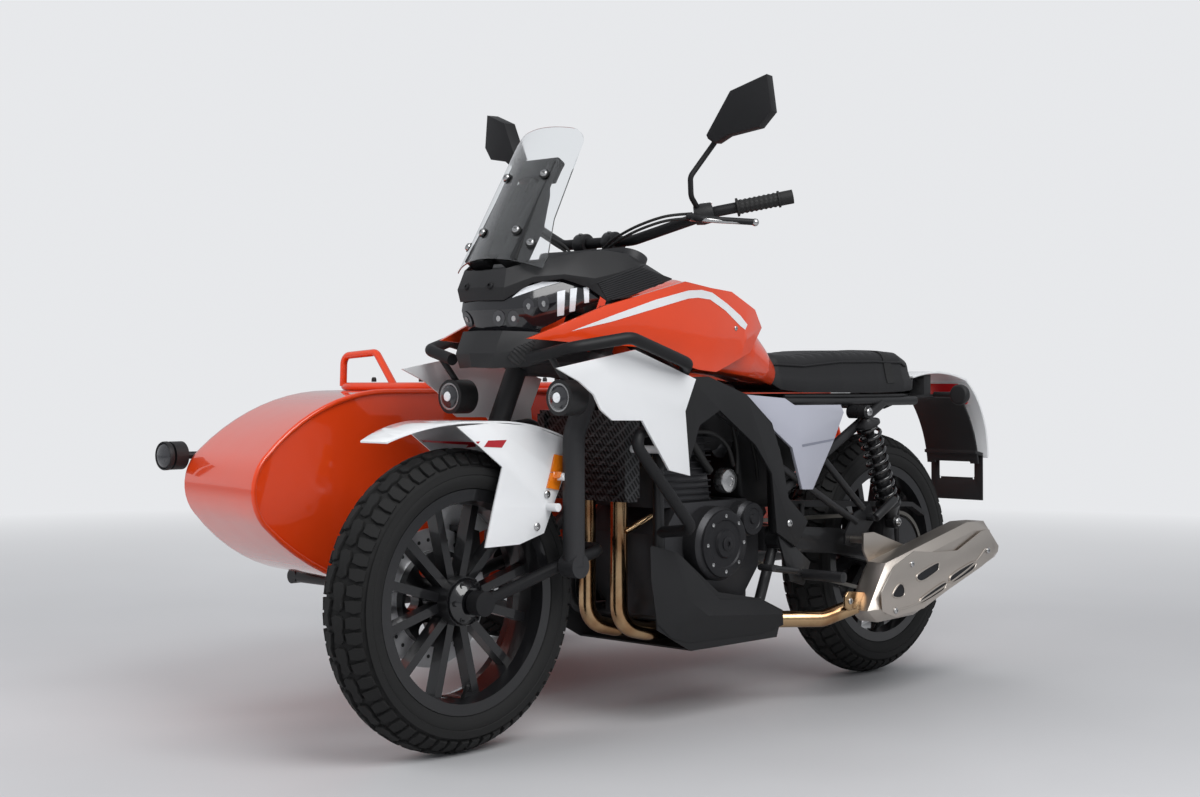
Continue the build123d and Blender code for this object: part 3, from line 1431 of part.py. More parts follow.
with BuildPart() as front_link:
    axle_end = front_axle + Vector(link_half_width, 0, 0)
    pivot = Vector(bike_x + link_half_width, foot.Y, foot.Z)
    corner = Vector(bike_x + link_half_width, front_axle.Y + link_loop_setback, link_loop_height)
    far_corner = Vector(2 * bike_x - corner.X, corner.Y, corner.Z)
    far_pivot = Vector(2 * bike_x - pivot.X, pivot.Y, pivot.Z)
    far_end = Vector(2 * bike_x - axle_end.X, axle_end.Y, axle_end.Z)
    tube([axle_end, pivot, corner, far_corner, far_pivot, far_end], link_arm_radius, link_bend)
    disc(front_axle, axle_radius, link_half_width)
    for side in (-1, 1):
        disc(front_axle + Vector(side * link_half_width, 0, 0), hub_radius / 2, link_eye_half_width)
    add(fork_legs.part, mode=Mode.SUBTRACT)

# Caliper over the right-hand disc, on the link

caliper_shares = [(0.956, 0.485), (0.956, 0.553), (0.916, 0.535), (0.909, 0.429)]
caliper_reach = body_half_width * 0.41
caliper_depth = 30

with BuildPart() as front_brake:
    with BuildSketch(side_plane(-caliper_reach)) as caliper:
        with BuildLine():
            Polyline(*[spot(*share) for share in caliper_shares], close=True)
        make_face()
    extrude(caliper.sketch, amount=caliper_depth)
    with BuildSketch(wheel_plane(front_axle, -disc_offset - disc_thickness)) as slot:
        Circle(disc_radius + running_gap)
    extrude(slot.sketch, amount=2 * disc_thickness, mode=Mode.SUBTRACT)
    add(front_link.part, mode=Mode.SUBTRACT)

# Front fender between the legs, with a beak, cheeks and two posts to each leg

front_fender_half_width = body_half_width * 0.45
crown_routes = [
    [(1.142, 0.772), (1.081, 0.805), (0.993, 0.816)],
    [(0.993, 0.816), (0.899, 0.805), (0.809, 0.756)],
]
beak_plan_shares = [(0.0, 1.149), (0.21, 1.142), (0.45, 1.014), (0.45, 0.777)]
cheek_shares = [
    (1.044, 0.808), (0.974, 0.815), (0.899, 0.805), (0.814, 0.759), (0.834, 0.68), (0.852, 0.624),
    (0.877, 0.535), (0.926, 0.512), (0.992, 0.511), (0.976, 0.609), (0.959, 0.706),
]
fender_post_shares = [(0.853, 0.676), (0.868, 0.6)]
fender_post_radius = 9

with BuildPart() as front_fender:
    bent_sheet(crown_routes, sheet, front_fender_half_width)
    extrude(plan_face(beak_plan_shares, 0), amount=2 * saddle_height, mode=Mode.INTERSECT)
    with BuildSketch(side_plane(front_fender_half_width - sheet)) as cheek:
        side_outline(cheek_shares)
    extrude(cheek.sketch, amount=sheet)
    for share in fender_post_shares:
        with BuildSketch(side_plane(front_fender_half_width - sheet)) as post:
            with Locations(spot(*share)):
                Circle(fender_post_radius)
        extrude(post.sketch, amount=leg_spacing - front_fender_half_width)
    mirror(about=middle_plane)
    add(fork_legs.part, mode=Mode.SUBTRACT)

# Handlebar on two risers, with levers

bar_tube_radius = 12
bar_bend = 50
bar_shares = [(0.0, 0.703, 1.285), (0.55, 0.703, 1.285), (1.425, 0.652, 1.353), (2.05, 0.574, 1.392)]
riser_spacing = body_half_width * 0.45
riser_width = 26
riser_depth = 34
riser_corner = 6
riser_height = 58
lever_radius = 7
lever_shares = [(1.31, 0.659, 1.345), (1.35, 0.703, 1.335), (1.55, 0.709, 1.327), (2.0, 0.652, 1.318)]
lever_bend = 16

with BuildPart() as handlebar:
    left_bar = [at(*share) for share in bar_shares]
    right_bar = [Vector(2 * bike_x - place.X, place.Y, place.Z) for place in reversed(left_bar[1:])]
    tube(right_bar + left_bar[1:], bar_tube_radius, bar_bend)
    with BuildSketch(steering_plane(upper_crown_start)) as risers:
        with GridLocations(riser_spacing, 0, 2, 1):
            RectangleRounded(riser_width, riser_depth, riser_corner)
    extrude(risers.sketch, amount=-riser_height)
    tube([at(*share) for share in lever_shares], lever_radius, lever_bend)
    tube([at(-share[0], *share[1:]) for share in lever_shares], lever_radius, lever_bend)
    add(fork_crowns.part, mode=Mode.SUBTRACT)

# Grips over the bar ends

grip_radius = 17
grip_length = 125

with BuildPart() as grips:
    end = at(*bar_shares[3])
    bend_place = at(*bar_shares[2])
    along = (end - bend_place).normalized()
    with BuildSketch(Plane(origin=end + along * overrun, z_dir=along * -1)) as grip:
        Circle(grip_radius)
    extrude(grip.sketch, amount=grip_length)
    mirror(about=middle_plane)
    add(handlebar.part, mode=Mode.SUBTRACT)

# Mirrors on stems from the lever clamps, six-sided shells turned a little inwards

mirror_stem_radius = 6
stem_bend = 22
stem_shares = [(1.31, 0.666, 1.348), (1.34, 0.693, 1.388), (1.355, 0.697, 1.438), (1.5, 0.664, 1.529)]
mirror_corner_share = (1.45, 0.665, 1.52)
mirror_turn_share = 0.26
mirror_size = (156, 140)
mirror_depth = 30
mirror_outline_shares = [
    (0.13, 0.0), (0.0, 0.11), (0.38, 0.79), (0.93, 1.0), (1.0, 0.44), (0.81, 0.21), (0.33, 0.12),
]
mirror_edge = 5

with BuildPart() as mirrors:
    turn = Vector(mirror_turn_share, -1, 0)
    across = Vector(1, mirror_turn_share, 0)
    with BuildSketch(Plane(origin=at(*mirror_corner_share), x_dir=across, z_dir=turn)) as shell:
        with BuildLine():
            Polyline(
                *[(mirror_size[0] * x, mirror_size[1] * y) for x, y in mirror_outline_shares],
                close=True,
            )
        make_face()
    extrude(shell.sketch, amount=mirror_depth)
    chamfer(mirrors.faces().sort_by(Axis.Y)[0].edges(), mirror_edge)
    tube([at(*share) for share in stem_shares], mirror_stem_radius, stem_bend)
    mirror(about=middle_plane)
    add(handlebar.part, mode=Mode.SUBTRACT)

# Wheels: like tyres and rims on three axles, discs on the right, the left and the inner side

with BuildPart() as front_tyre:
    tyre(front_axle)

with BuildPart() as front_rim:
    cast_rim(front_axle)
    brake_disc(front_axle, -1)

with BuildPart() as rear_tyre:
    tyre(rear_axle)

with BuildPart() as rear_rim:
    cast_rim(rear_axle)
    brake_disc(rear_axle, -1)
    sprocket_inner = chain_offset - chain_width / 4
    with BuildSketch(wheel_plane(rear_axle, sprocket_inner)) as sprocket:
        Circle(rear_sprocket_radius)
        Circle(axle_radius + axle_gap, mode=Mode.SUBTRACT)
    extrude(sprocket.sketch, amount=chain_width / 2)
    with BuildSketch(wheel_plane(rear_axle, hub_width / 2 - overrun)) as drum:
        Circle(hub_radius)
        Circle(axle_radius + axle_gap, mode=Mode.SUBTRACT)
    extrude(drum.sketch, amount=sprocket_inner - hub_width / 2 + 2 * overrun)

with BuildPart() as sidecar_tyre:
    tyre(sidecar_axle)

with BuildPart() as sidecar_rim:
    cast_rim(sidecar_axle)
    brake_disc(sidecar_axle, 1)

pieces = {
    "main_frame": main_frame,
    "frame_covers": frame_covers,
    "engine": engine,
    "engine_covers": engine_covers,
    "radiator": radiator,
    "exhaust_headers": exhaust_headers,
    "silencer": silencer,
    "silencer_shield": silencer_shield,
    "belly_guard": belly_guard,
    "swingarm": swingarm,
    "rear_shocks": rear_shocks,
    "drive_chain": drive_chain,
    "chain_guard": chain_guard,
    "foot_controls": foot_controls,
    "fuel_tank": fuel_tank,
    "tank_panels": tank_panels,
    "front_shrouds": front_shrouds,
    "side_panels": side_panels,
    "seat": seat,
    "rear_fender": rear_fender,
    "plate_bracket": plate_bracket,
    "rear_lamps": rear_lamps,
    "fairing": fairing,
    "headlamp": headlamp,
    "windscreen": windscreen,
    "upper_crash_bars": upper_crash_bars,
    "lower_crash_bars": lower_crash_bars,
    "fog_lamps": fog_lamps,
    "sidecar_frame": sidecar_frame,
    "sidecar_side": sidecar_side,
    "sidecar_deck": sidecar_deck,
    "sidecar_tub": sidecar_tub,
    "sidecar_bulkhead": sidecar_bulkhead,
    "sidecar_coaming": sidecar_coaming,
    "sidecar_seat": sidecar_seat,
    "sidecar_backrest": sidecar_backrest,
    "sidecar_fender": sidecar_fender,
    "sidecar_lamps": sidecar_lamps,
    "sidecar_suspension": sidecar_suspension,
    "trunk_lid": trunk_lid,
    "fork_crowns": fork_crowns,
    "fork_legs": fork_legs,
    "front_link": front_link,
    "front_brake": front_brake,
    "front_fender": front_fender,
    "handlebar": handlebar,
    "grips": grips,
    "mirrors": mirrors,
    "front_tyre": front_tyre,
    "front_rim": front_rim,
    "rear_tyre": rear_tyre,
    "rear_rim": rear_rim,
    "sidecar_tyre": sidecar_tyre,
    "sidecar_rim": sidecar_rim,
}

os.makedirs("parts", exist_ok=True)
for name, piece in pieces.items():
    piece.part.label = name
    export_step(piece.part, "parts/" + name + ".step")
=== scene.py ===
"""Looks of the sidecar motorcycle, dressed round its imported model.

Each sub-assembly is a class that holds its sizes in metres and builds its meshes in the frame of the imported
model: the front faces -Y, the left side is +X and the floor lies at zero. Places on the motorcycle are given
from its middle plane, its rear axle and the floor.
"""
import json
import logging
from contextlib import contextmanager
from dataclasses import dataclass, field
from enum import Enum
from functools import cache, cached_property
from math import atan2, cos, pi, radians, sin, tau
from typing import Callable, Iterator, Sequence, Union

import bmesh
import bpy
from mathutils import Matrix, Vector
from mathutils.bvhtree import BVHTree


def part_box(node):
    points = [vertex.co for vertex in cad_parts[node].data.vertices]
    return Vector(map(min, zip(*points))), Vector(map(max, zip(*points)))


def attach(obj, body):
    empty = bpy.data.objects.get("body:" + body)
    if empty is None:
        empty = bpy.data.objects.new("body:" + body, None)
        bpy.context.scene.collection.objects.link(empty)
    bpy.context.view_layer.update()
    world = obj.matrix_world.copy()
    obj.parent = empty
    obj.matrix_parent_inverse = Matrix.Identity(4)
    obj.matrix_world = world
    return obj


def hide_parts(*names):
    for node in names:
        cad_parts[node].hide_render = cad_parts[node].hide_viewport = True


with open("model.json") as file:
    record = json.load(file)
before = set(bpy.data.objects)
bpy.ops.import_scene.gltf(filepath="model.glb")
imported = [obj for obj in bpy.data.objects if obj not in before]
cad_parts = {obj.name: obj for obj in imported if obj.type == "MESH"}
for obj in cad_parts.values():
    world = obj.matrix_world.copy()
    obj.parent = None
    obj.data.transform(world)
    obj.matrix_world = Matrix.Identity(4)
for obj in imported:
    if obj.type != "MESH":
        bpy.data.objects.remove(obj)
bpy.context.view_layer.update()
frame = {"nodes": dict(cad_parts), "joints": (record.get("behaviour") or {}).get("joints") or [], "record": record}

Color = tuple[float, float, float]
Point = Sequence[float]
Piece = bpy.types.Object
Socket = bpy.types.NodeSocket
log = logging.getLogger("sidecar_motorcycle")

JOINTS = {joint["name"]: joint for joint in frame["joints"]}
REAR_AXLE = Vector(JOINTS["rear_wheel_spin"]["pos_m"])
FRONT_AXLE = Vector(JOINTS["front_wheel_spin"]["pos_m"])
SIDECAR_AXLE = Vector(JOINTS["sidecar_wheel_spin"]["pos_m"])
BODY_OF = {node: body for body, nodes in frame["record"]["behaviour"]["bodies"].items() for node in nodes}
SLOT_OF = {part["node"]: part["material_slot"] for part in frame["record"]["subparts"]}

# Place of the photograph's camera, from which marks and screws are laid on the panels
EYE = Vector((3.2525, -3.3348, 0.7839))
# Distance of a brake disc from its wheel's middle
DISC_PLANE = 0.064
SIDES = {1: "left", -1: "right"}


class Body(Enum):
    """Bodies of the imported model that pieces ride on."""

    CHASSIS = "chassis"
    STEERING = "steering"
    FRONT_WHEEL = "front_wheel"
    REAR_WHEEL = "rear_wheel"
    SIDECAR_WHEEL = "sidecar_wheel"
    LID = "trunk_lid"


def place(x: float, y: float, z: float) -> Vector:
    """Place on the motorcycle, from its middle plane, its rear axle and the floor, in metres."""
    return Vector((REAR_AXLE.x + x, REAR_AXLE.y + y, z))


def beside(side: int, spot: Point) -> Vector:
    """Place of the left side or, with side -1, its mirror image on the right."""
    return place(side * spot[0], spot[1], spot[2])


# Node trees and shader maths


class Tree:
    """Node tree with one method that adds any node."""

    def __init__(self, tree: bpy.types.NodeTree) -> None:
        """Hold the tree."""
        self.tree = tree

    def node(self, kind: str, settings: dict | None = None, values: dict | None = None) -> bpy.types.Node:
        """Add any node.

        Args:
            kind: type of the node.
            settings: attributes of the node, set first.
            values: numbers, colours, sockets or wires for its inputs, by name or index.

        Returns:
            The node.
        """
        node = self.tree.nodes.new(kind)
        for key, value in (settings or {}).items():
            setattr(node, key, value)
        for key, value in (values or {}).items():
            self.feed(node.inputs[key], value)
        return node

    def feed(self, socket: Socket, value: object) -> None:
        """Link a wire or socket to an input, or set its own value."""
        if isinstance(value, Wire):
            value = value.socket
        if isinstance(value, Socket):
            self.tree.links.new(value, socket)
        elif socket.type == "RGBA":
            socket.default_value = (*value, 1)
        else:
            socket.default_value = value


class Wire:
    """A socket of a shader tree. Arithmetic on it adds Math nodes."""

    def __init__(self, tree: Tree, socket: Socket) -> None:
        """Wrap a socket of a tree."""
        self.tree = tree
        self.socket = socket

    def _math(self, operation: str, first: "Number", second: "Number" = 0.0) -> "Wire":
        """Add a Math node.

        Args:
            operation: name of the operation.
            first: first value or wire.
            second: second value or wire.

        Returns:
            The node's result.
        """
        node = self.tree.node("ShaderNodeMath", {"operation": operation}, {0: first, 1: second})
        return Wire(self.tree, node.outputs[0])

    def __add__(self, other: "Number") -> "Wire":
        """Sum."""
        return self._math("ADD", self, other)

    def __sub__(self, other: "Number") -> "Wire":
        """Difference."""
        return self._math("SUBTRACT", self, other)

    def __mul__(self, other: "Number") -> "Wire":
        """Product."""
        return self._math("MULTIPLY", self, other)

    def __truediv__(self, other: "Number") -> "Wire":
        """Quotient."""
        return self._math("DIVIDE", self, other)

    __radd__ = __add__
    __rmul__ = __mul__

    def __rsub__(self, other: float) -> "Wire":
        """Number less the wire."""
        return self._math("SUBTRACT", other, self)

    def __rtruediv__(self, other: float) -> "Wire":
        """Number over the wire."""
        return self._math("DIVIDE", other, self)

    def __gt__(self, other: "Number") -> "Wire":
        """One where the wire is greater."""
        return self._math("GREATER_THAN", self, other)

    def __lt__(self, other: "Number") -> "Wire":
        """One where the wire is less."""
        return self._math("LESS_THAN", self, other)

    def __pow__(self, other: "Number") -> "Wire":
        """Power."""
        return self._math("POWER", self, other)

    def sine(self) -> "Wire":
        """Sine of the wire in radians."""
        return self._math("SINE", self)

    def larger(self, other: "Number") -> "Wire":
        """The larger of the two."""
        return self._math("MAXIMUM", self, other)

    def limited(self) -> "Wire":
        """The wire kept between zero and one."""
        return self._math("MINIMUM", self.larger(0.0), 1.0)


Number = Union[Wire, float]
MADE: dict[str, bpy.types.Material] = {}


class Recipe(Tree):
    """Shader tree of one material or of the world."""

    def __init__(self, owner: bpy.types.Material | bpy.types.World) -> None:
        """Start with an empty tree."""
        owner.use_nodes = True
        super().__init__(owner.node_tree)
        self.tree.nodes.clear()

    @cached_property
    def object_place(self) -> Socket:
        """Place on the piece, in metres."""
        return self.node("ShaderNodeTexCoord").outputs["Object"]

    def axes(self) -> tuple[Wire, ...]:
        """Object place as three wires."""
        split = self.node("ShaderNodeSeparateXYZ", values={0: self.object_place})
        return tuple(Wire(self, output) for output in split.outputs)

    def noise(self, scale: float, detail: float = 2.0, stretch: Point = (1, 1, 1)) -> Wire:
        """Noise from zero to one, its scale in features per metre, stretched along the axes."""
        mapping = self.node("ShaderNodeMapping", values={"Vector": self.object_place, "Scale": stretch})
        values = {"Vector": mapping.outputs[0], "Scale": scale, "Detail": detail}
        return Wire(self, self.node("ShaderNodeTexNoise", values=values).outputs[0])

    def cells(self, scale: float, feature: str = "F1") -> Wire:
        """Distance within Voronoi cells, their scale in cells per metre."""
        values = {"Vector": self.object_place, "Scale": scale}
        node = self.node("ShaderNodeTexVoronoi", {"feature": feature}, values)
        return Wire(self, node.outputs["Distance"])

    def mix(self, factor: Number, low: object, high: object) -> Socket:
        """Colour between two."""
        node = self.node("ShaderNodeMix", {"data_type": "RGBA"}, {0: factor, 6: low, 7: high})
        return node.outputs[2]

    def bump(self, height: Wire, depth: float) -> Socket:
        """Normal bent by a height of the given depth in metres."""
        values = {"Height": height, "Distance": depth, "Strength": 1.0}
        return self.node("ShaderNodeBump", values=values).outputs[0]

    def surface(self, values: dict) -> None:
        """Close the tree with one shader, given the values of its inputs."""
        shader = self.node("ShaderNodeBsdfPrincipled", values=values)
        self.node("ShaderNodeOutputMaterial", values={0: shader.outputs[0]})


# Scale in features per metre and detail of the noises that cloud, stain and smear a finish
CLOUD = (9.0, 4.0)
STAIN = (14.0, 3.0)
SMEAR = (60.0, 4.0)


@dataclass(frozen=True)
class Finish:
    """Surface finish with a slight change of tone and shine over the surface.

    Its grain's size and depth are in metres, and tone and shine are the shares by which colour and roughness
    vary.
    """

    name: str
    color: Color
    roughness: float = 0.4
    grain_size: float = 0.0012
    grain_depth: float = 0.00003
    tone: float = 0.12
    shine: float = 0.15
    gloss: float = 0.3

    def toned(self, share: float) -> Color:
        """The colour times a share."""
        return tuple(min(1.0, channel * share) for channel in self.color)

    def worn(self, cloud: Wire) -> Wire:
        """The roughness varied by a cloud."""
        return self.roughness * (1 - self.shine) + cloud * (2 * self.shine * self.roughness)

    def shade(self, recipe: Recipe) -> dict:
        """Values of the shader's inputs."""
        cloud = recipe.noise(*CLOUD)
        fine = recipe.noise(1 / self.grain_size, 3.0)
        return {
            "Base Color": recipe.mix(cloud, self.toned(1 - self.tone), self.toned(1 + self.tone)),
            "Roughness": self.worn(cloud),
            "Normal": recipe.bump(fine, self.grain_depth),
            "Specular IOR Level": self.gloss,
        }

    def material(self) -> bpy.types.Material:
        """The finish's material, made once."""
        if self.name not in MADE:
            MADE[self.name] = bpy.data.materials.new(self.name + "_finish")
            recipe = Recipe(MADE[self.name])
            recipe.surface(self.shade(recipe))
        return MADE[self.name]


@dataclass(frozen=True)
class Lacquer(Finish):
    """Paint or gloss moulding under a clear coat."""

    coat: float = 1.0
    coat_roughness: float = 0.04

    def shade(self, recipe: Recipe) -> dict:
        """Add the clear coat."""
        return {**super().shade(recipe), "Coat Weight": self.coat, "Coat Roughness": self.coat_roughness}


@dataclass(frozen=True)
class Grained(Finish):
    """Moulded plastic, rubber or vinyl with a pebbled grain."""

    def shade(self, recipe: Recipe) -> dict:
        """Replace the fine noise by rounded pebbles."""
        values = super().shade(recipe)
        pebble = recipe.cells(1 / self.grain_size, "SMOOTH_F1")
        return {**values, "Normal": recipe.bump(pebble, self.grain_depth)}


@dataclass(frozen=True)
class Metal(Finish):
    """Bare or anodised metal with brush marks along an axis."""

    brush: Point = (1.0, 1.0, 1.0)
    bare: float = 1.0
    stain: Color | None = None
    stain_start: float = 0.4
    stain_rise: float = 4.0

    def shade(self, recipe: Recipe) -> dict:
        """Stretch the grain along the brushing and add heat stain."""
        values = super().shade(recipe)
        marks = recipe.noise(1 / self.grain_size, 2.0, self.brush)
        values["Roughness"] = self.worn(marks)
        values["Normal"] = recipe.bump(marks, self.grain_depth)
        if self.stain:
            heat = ((recipe.noise(*STAIN) - self.stain_start) * self.stain_rise).limited()
            values["Base Color"] = recipe.mix(heat, self.color, self.stain)
        return {**values, "Metallic": self.bare}


@dataclass(frozen=True)
class Ribbed(Finish):
    """Moulding with fine parallel ridges across a slanted direction."""

    direction: Point = (0.0, 1.0, 1.0)
    pitch: float = 0.007
    ridge: float = 0.0012

    def shade(self, recipe: Recipe) -> dict:
        """Ridges as a sine along the direction."""
        values = super().shade(recipe)
        steps = [axis * share for axis, share in zip(recipe.axes(), self.direction) if share]
        along = sum(steps[1:], steps[0])
        wave = (along * (tau / self.pitch)).sine()
        return {**values, "Normal": recipe.bump(wave, self.ridge)}


@dataclass(frozen=True)
class Slotted(Finish):
    """Black guard with rows of short slanted slots, cut where a sine across and one along are high enough. The
    slots are near-black: painted shade for the dark seen through them.
    """

    pitch: float = 0.009
    length: float = 0.022
    slant: tuple[float, float] = (0.8, 0.6)
    open_across: float = -0.2
    open_along: float = -0.75
    depth: float = 0.001
    web: Color = (0.06, 0.06, 0.062)
    # Near-black of the slots: painted shade where one sees into the openings
    gap: Color = (0.002, 0.002, 0.002)

    def shade(self, recipe: Recipe) -> dict:
        """Sunk slots in near-black painted shade between paler webs."""
        values = super().shade(recipe)
        x, y, z = recipe.axes()
        major, minor = self.slant
        across = ((x + y) * major + z * minor) * (tau / self.pitch)
        along = ((x + y) * -minor + z * major) * (tau / self.length)
        slot = (across.sine() > self.open_across) * (along.sine() > self.open_along)
        return {
            **values,
            "Base Color": recipe.mix(slot, self.web, self.gap),
            "Normal": recipe.bump(1 - slot, self.depth),
        }


@dataclass(frozen=True)
class Clear(Finish):
    """Clear or tinted glass and plastic."""

    smear: float = 0.03
    refraction: float = 1.46
    coat: float = 0.3

    def shade(self, recipe: Recipe) -> dict:
        """Glass with a few fine wipe marks."""
        marks = recipe.noise(*SMEAR, (1, 6, 1))
        return {
            "Base Color": self.color,
            "Roughness": self.roughness + marks * self.smear,
            "Transmission Weight": 1.0,
            "IOR": self.refraction,
            "Coat Weight": self.coat,
        }


@dataclass(frozen=True)
class Glow(Finish):
    """Lamp element that glows a little by itself; on the fender's reflectors, which are no lamps, the glow is a
    painted glint.
    """

    strength: float = 0.6
    shadow: float = 0.6

    def shade(self, recipe: Recipe) -> dict:
        """Emission over a clear-coated base, with a fine lens pattern that is darker between its cells."""
        lens = recipe.cells(1 / self.grain_size)
        return {
            "Base Color": self.color,
            "Roughness": self.roughness,
            "Emission Color": recipe.mix(lens, self.color, self.toned(self.shadow)),
            "Emission Strength": self.strength,
            "Normal": recipe.bump(lens, self.grain_depth),
            "Coat Weight": 1.0,
        }


@dataclass(frozen=True)
class WheelFinish(Finish):
    """Gloss black casting with a brake disc of bare steel in the same node.

    The disc is found by its place: so far inwards and outwards of its plane, and between its two radii.
    """

    centre: Point = (0.0, 0.0, 0.0)
    disc_side: int = 1
    inwards: float = 0.0055
    outwards: float = 0.006
    disc_inner: float = 0.0975
    disc_outer: float = 0.150
    disc_color: Color = (0.52, 0.52, 0.53)
    disc_roughness: float = 0.28
    ring_waves: float = 9000.0
    ring_depth: float = 0.00004
    coat: float = 0.6

    def shade(self, recipe: Recipe) -> dict:
        """Steel where the disc lies, with ground rings on it."""
        values = super().shade(recipe)
        x, y, z = recipe.axes()
        off = (x - (self.centre[0] + self.disc_side * DISC_PLANE)) * self.disc_side
        radius = ((y - self.centre[1]) ** 2.0 + (z - self.centre[2]) ** 2.0) ** 0.5
        in_plane = (off > -self.inwards) * (off < self.outwards)
        disc = in_plane * (radius > self.disc_inner) * (radius < self.disc_outer)
        rings = (radius * self.ring_waves).sine()
        return {
            **values,
            "Base Color": recipe.mix(disc, values["Base Color"], self.disc_color),
            "Metallic": disc,
            "Roughness": values["Roughness"] * (1 - disc) + disc * self.disc_roughness,
            "Normal": recipe.bump(rings * disc, self.ring_depth),
            "Coat Weight": self.coat,
        }


ORANGE = (0.74, 0.052, 0.004)
WHITE = (0.82, 0.83, 0.84)
LILAC = (0.44, 0.45, 0.52)
BLACK = (0.008, 0.008, 0.009)

ORANGE_PAINT = Lacquer("orange_paint", ORANGE, 0.32, 0.0016, 0.00001, 0.05)
WHITE_SHELL = Lacquer("white_shell", WHITE, 0.3, 0.0016, 0.000008, 0.03)
LILAC_PANEL = Lacquer("lilac_panel", LILAC, 0.35, 0.0012, 0.00001, 0.04, 0.15, coat=0.8)
# Darker lilac along the side panel's crease: painted shade
LILAC_CREASE_SHADE = Lacquer("lilac_shade", (0.22, 0.23, 0.28), 0.4, 0.0012, 0.00001, 0.04, 0.15, coat=0.3)
RED_MARK = Lacquer("red_mark", (0.42, 0.012, 0.02), 0.3)
SATIN_FRAME = Lacquer("satin_frame", (0.012, 0.012, 0.013), 0.45, 0.0015, 0.00003, 0.2, 0.2, coat=0.25)
LEG_PAINT = Finish("leg_paint", (0.028, 0.028, 0.030), 0.5, 0.0014, 0.00005, 0.12, 0.15)
MATT_BLACK = Grained("matt_black", BLACK, 0.55, 0.0016, 0.00006, 0.2, 0.2)
BLACK_PLASTIC = Grained("black_plastic", (0.019, 0.019, 0.020), 0.5, 0.0018, 0.00008, 0.2, 0.2)
DARK_COVER = Grained("dark_cover", (0.015, 0.015, 0.016), 0.55, 0.002, 0.0001, 0.15, 0.15, gloss=0.25)
GLOSS_BLACK = Lacquer("gloss_black", BLACK, 0.22, 0.0015, 0.00001, 0.1)
FIN_BLACK = Metal("fin_black", (0.018, 0.018, 0.02), 0.45, 0.0012, 0.00004, 0.2, 0.2, bare=0.4)
ENGINE_METAL = Metal("engine_metal", (0.045, 0.045, 0.048), 0.40, 0.0016, 0.00006, 0.2, 0.2, bare=0.6)
BRONZE = Metal("bronze", (0.50, 0.34, 0.19), 0.2, 0.001, 0.00002, 0.2, 0.3, stain=(0.30, 0.15, 0.07))
CHAMPAGNE = Metal("champagne", (0.55, 0.50, 0.45), 0.36, 0.0009, 0.00003, 0.08, 0.3, brush=(1, 0.05, 1))
STEEL = Metal("steel", (0.5, 0.5, 0.5), 0.25, 0.001, 0.00002, 0.1, 0.3)
CHAIN_STEEL = Metal("chain_steel", (0.2, 0.19, 0.17), 0.38, 0.0008, 0.00004, 0.25, 0.3)
TYRE_RUBBER = Grained("tyre_rubber", (0.011, 0.011, 0.011), 0.75, 0.0012, 0.00008, 0.25, 0.1)
RUBBER = Grained("rubber", (0.016, 0.016, 0.016), 0.6, 0.0012, 0.00008, 0.2, 0.1)
VINYL = Grained("seat_vinyl", (0.013, 0.013, 0.014), 0.52, 0.0022, 0.00025, 0.15, 0.15)
SCREEN = Clear("screen_clear", (0.93, 0.95, 0.96), 0.02)
LENS = Clear("lens_clear", (0.96, 0.97, 0.98), 0.01)
DARK_LENS = Lacquer("lens_dark", (0.010, 0.010, 0.012), 0.12, 0.004, 0.00001, 0.3)
SMOKED_LENS = Lacquer("lens_smoked", (0.030, 0.030, 0.034), 0.15, 0.007, 0.0004, 0.3)
RED_LENS = Glow("red_lens", (0.45, 0.012, 0.015), 0.15, 0.003, 0.0003, 0.1, 0.1, strength=0.2)
AMBER_LENS = Glow("amber_lens", (0.85, 0.22, 0.01), 0.2, 0.0035, 0.0004, 0.1, 0.1, strength=0.08)
LED = Glow("led_bar", (0.75, 0.77, 0.80), 0.2, 0.004, 0.0003, 0.1, 0.1, strength=0.2)
CHROME = Metal("mirror_glass", (0.8, 0.8, 0.82), 0.03, 0.002, 0.000001, 0.02, 0.1)
PAD_RIBS = Ribbed("pad_ribs", (0.019, 0.019, 0.020), 0.5, 0.0018, 0.00008, 0.2, 0.2,
                  direction=(0.0, 0.7, 0.7))


class Slot(Enum):
    """Material slots of the record, each with the finish of its carried-over nodes."""

    frame_paint = SATIN_FRAME
    red_paint = ORANGE_PAINT
    white_shell = WHITE_SHELL
    grey_panel = LILAC_PANEL
    black_plastic = BLACK_PLASTIC
    dark_cover = DARK_COVER
    engine_metal = ENGINE_METAL
    header_metal = BRONZE
    silencer_metal = CHAMPAGNE
    fin_metal = FIN_BLACK
    chain_steel = CHAIN_STEEL
    spring_steel = GLOSS_BLACK
    seat_cover = VINYL
    lamp_glass = LENS
    red_lens = RED_LENS
    screen_glass = SCREEN
    cast_wheel = WheelFinish("front_wheel_finish", BLACK, 0.3, centre=tuple(FRONT_AXLE), disc_side=-1)
    tyre_rubber = TYRE_RUBBER
    grip_rubber = RUBBER
    mirror_shell = MATT_BLACK


NODE_FINISHES = {
    "radiator": Slotted("radiator_guard", BLACK, 0.45),
    "fork_legs": LEG_PAINT,
    "fork_crowns": LEG_PAINT,
    "front_link": MATT_BLACK,
    "upper_crash_bars": MATT_BLACK,
    "lower_crash_bars": MATT_BLACK,
    "rear_rim": WheelFinish("rear_wheel_finish", BLACK, 0.3, centre=tuple(REAR_AXLE), disc_side=-1),
    "sidecar_rim": WheelFinish("sidecar_wheel_finish", BLACK, 0.3, centre=tuple(SIDECAR_AXLE), disc_side=1),
}


# Meshes


# Angles in degrees above which an edge is sharp, on plain pieces and on those with rounded edges
EDGE_ANGLE = 35.0
ROUND_ANGLE = 40.0


@contextmanager
def edited(mesh: bpy.types.Mesh) -> Iterator[bmesh.types.BMesh]:
    """Open a mesh for editing and write it back."""
    work = bmesh.new()
    work.from_mesh(mesh)
    yield work
    work.to_mesh(mesh)
    work.free()


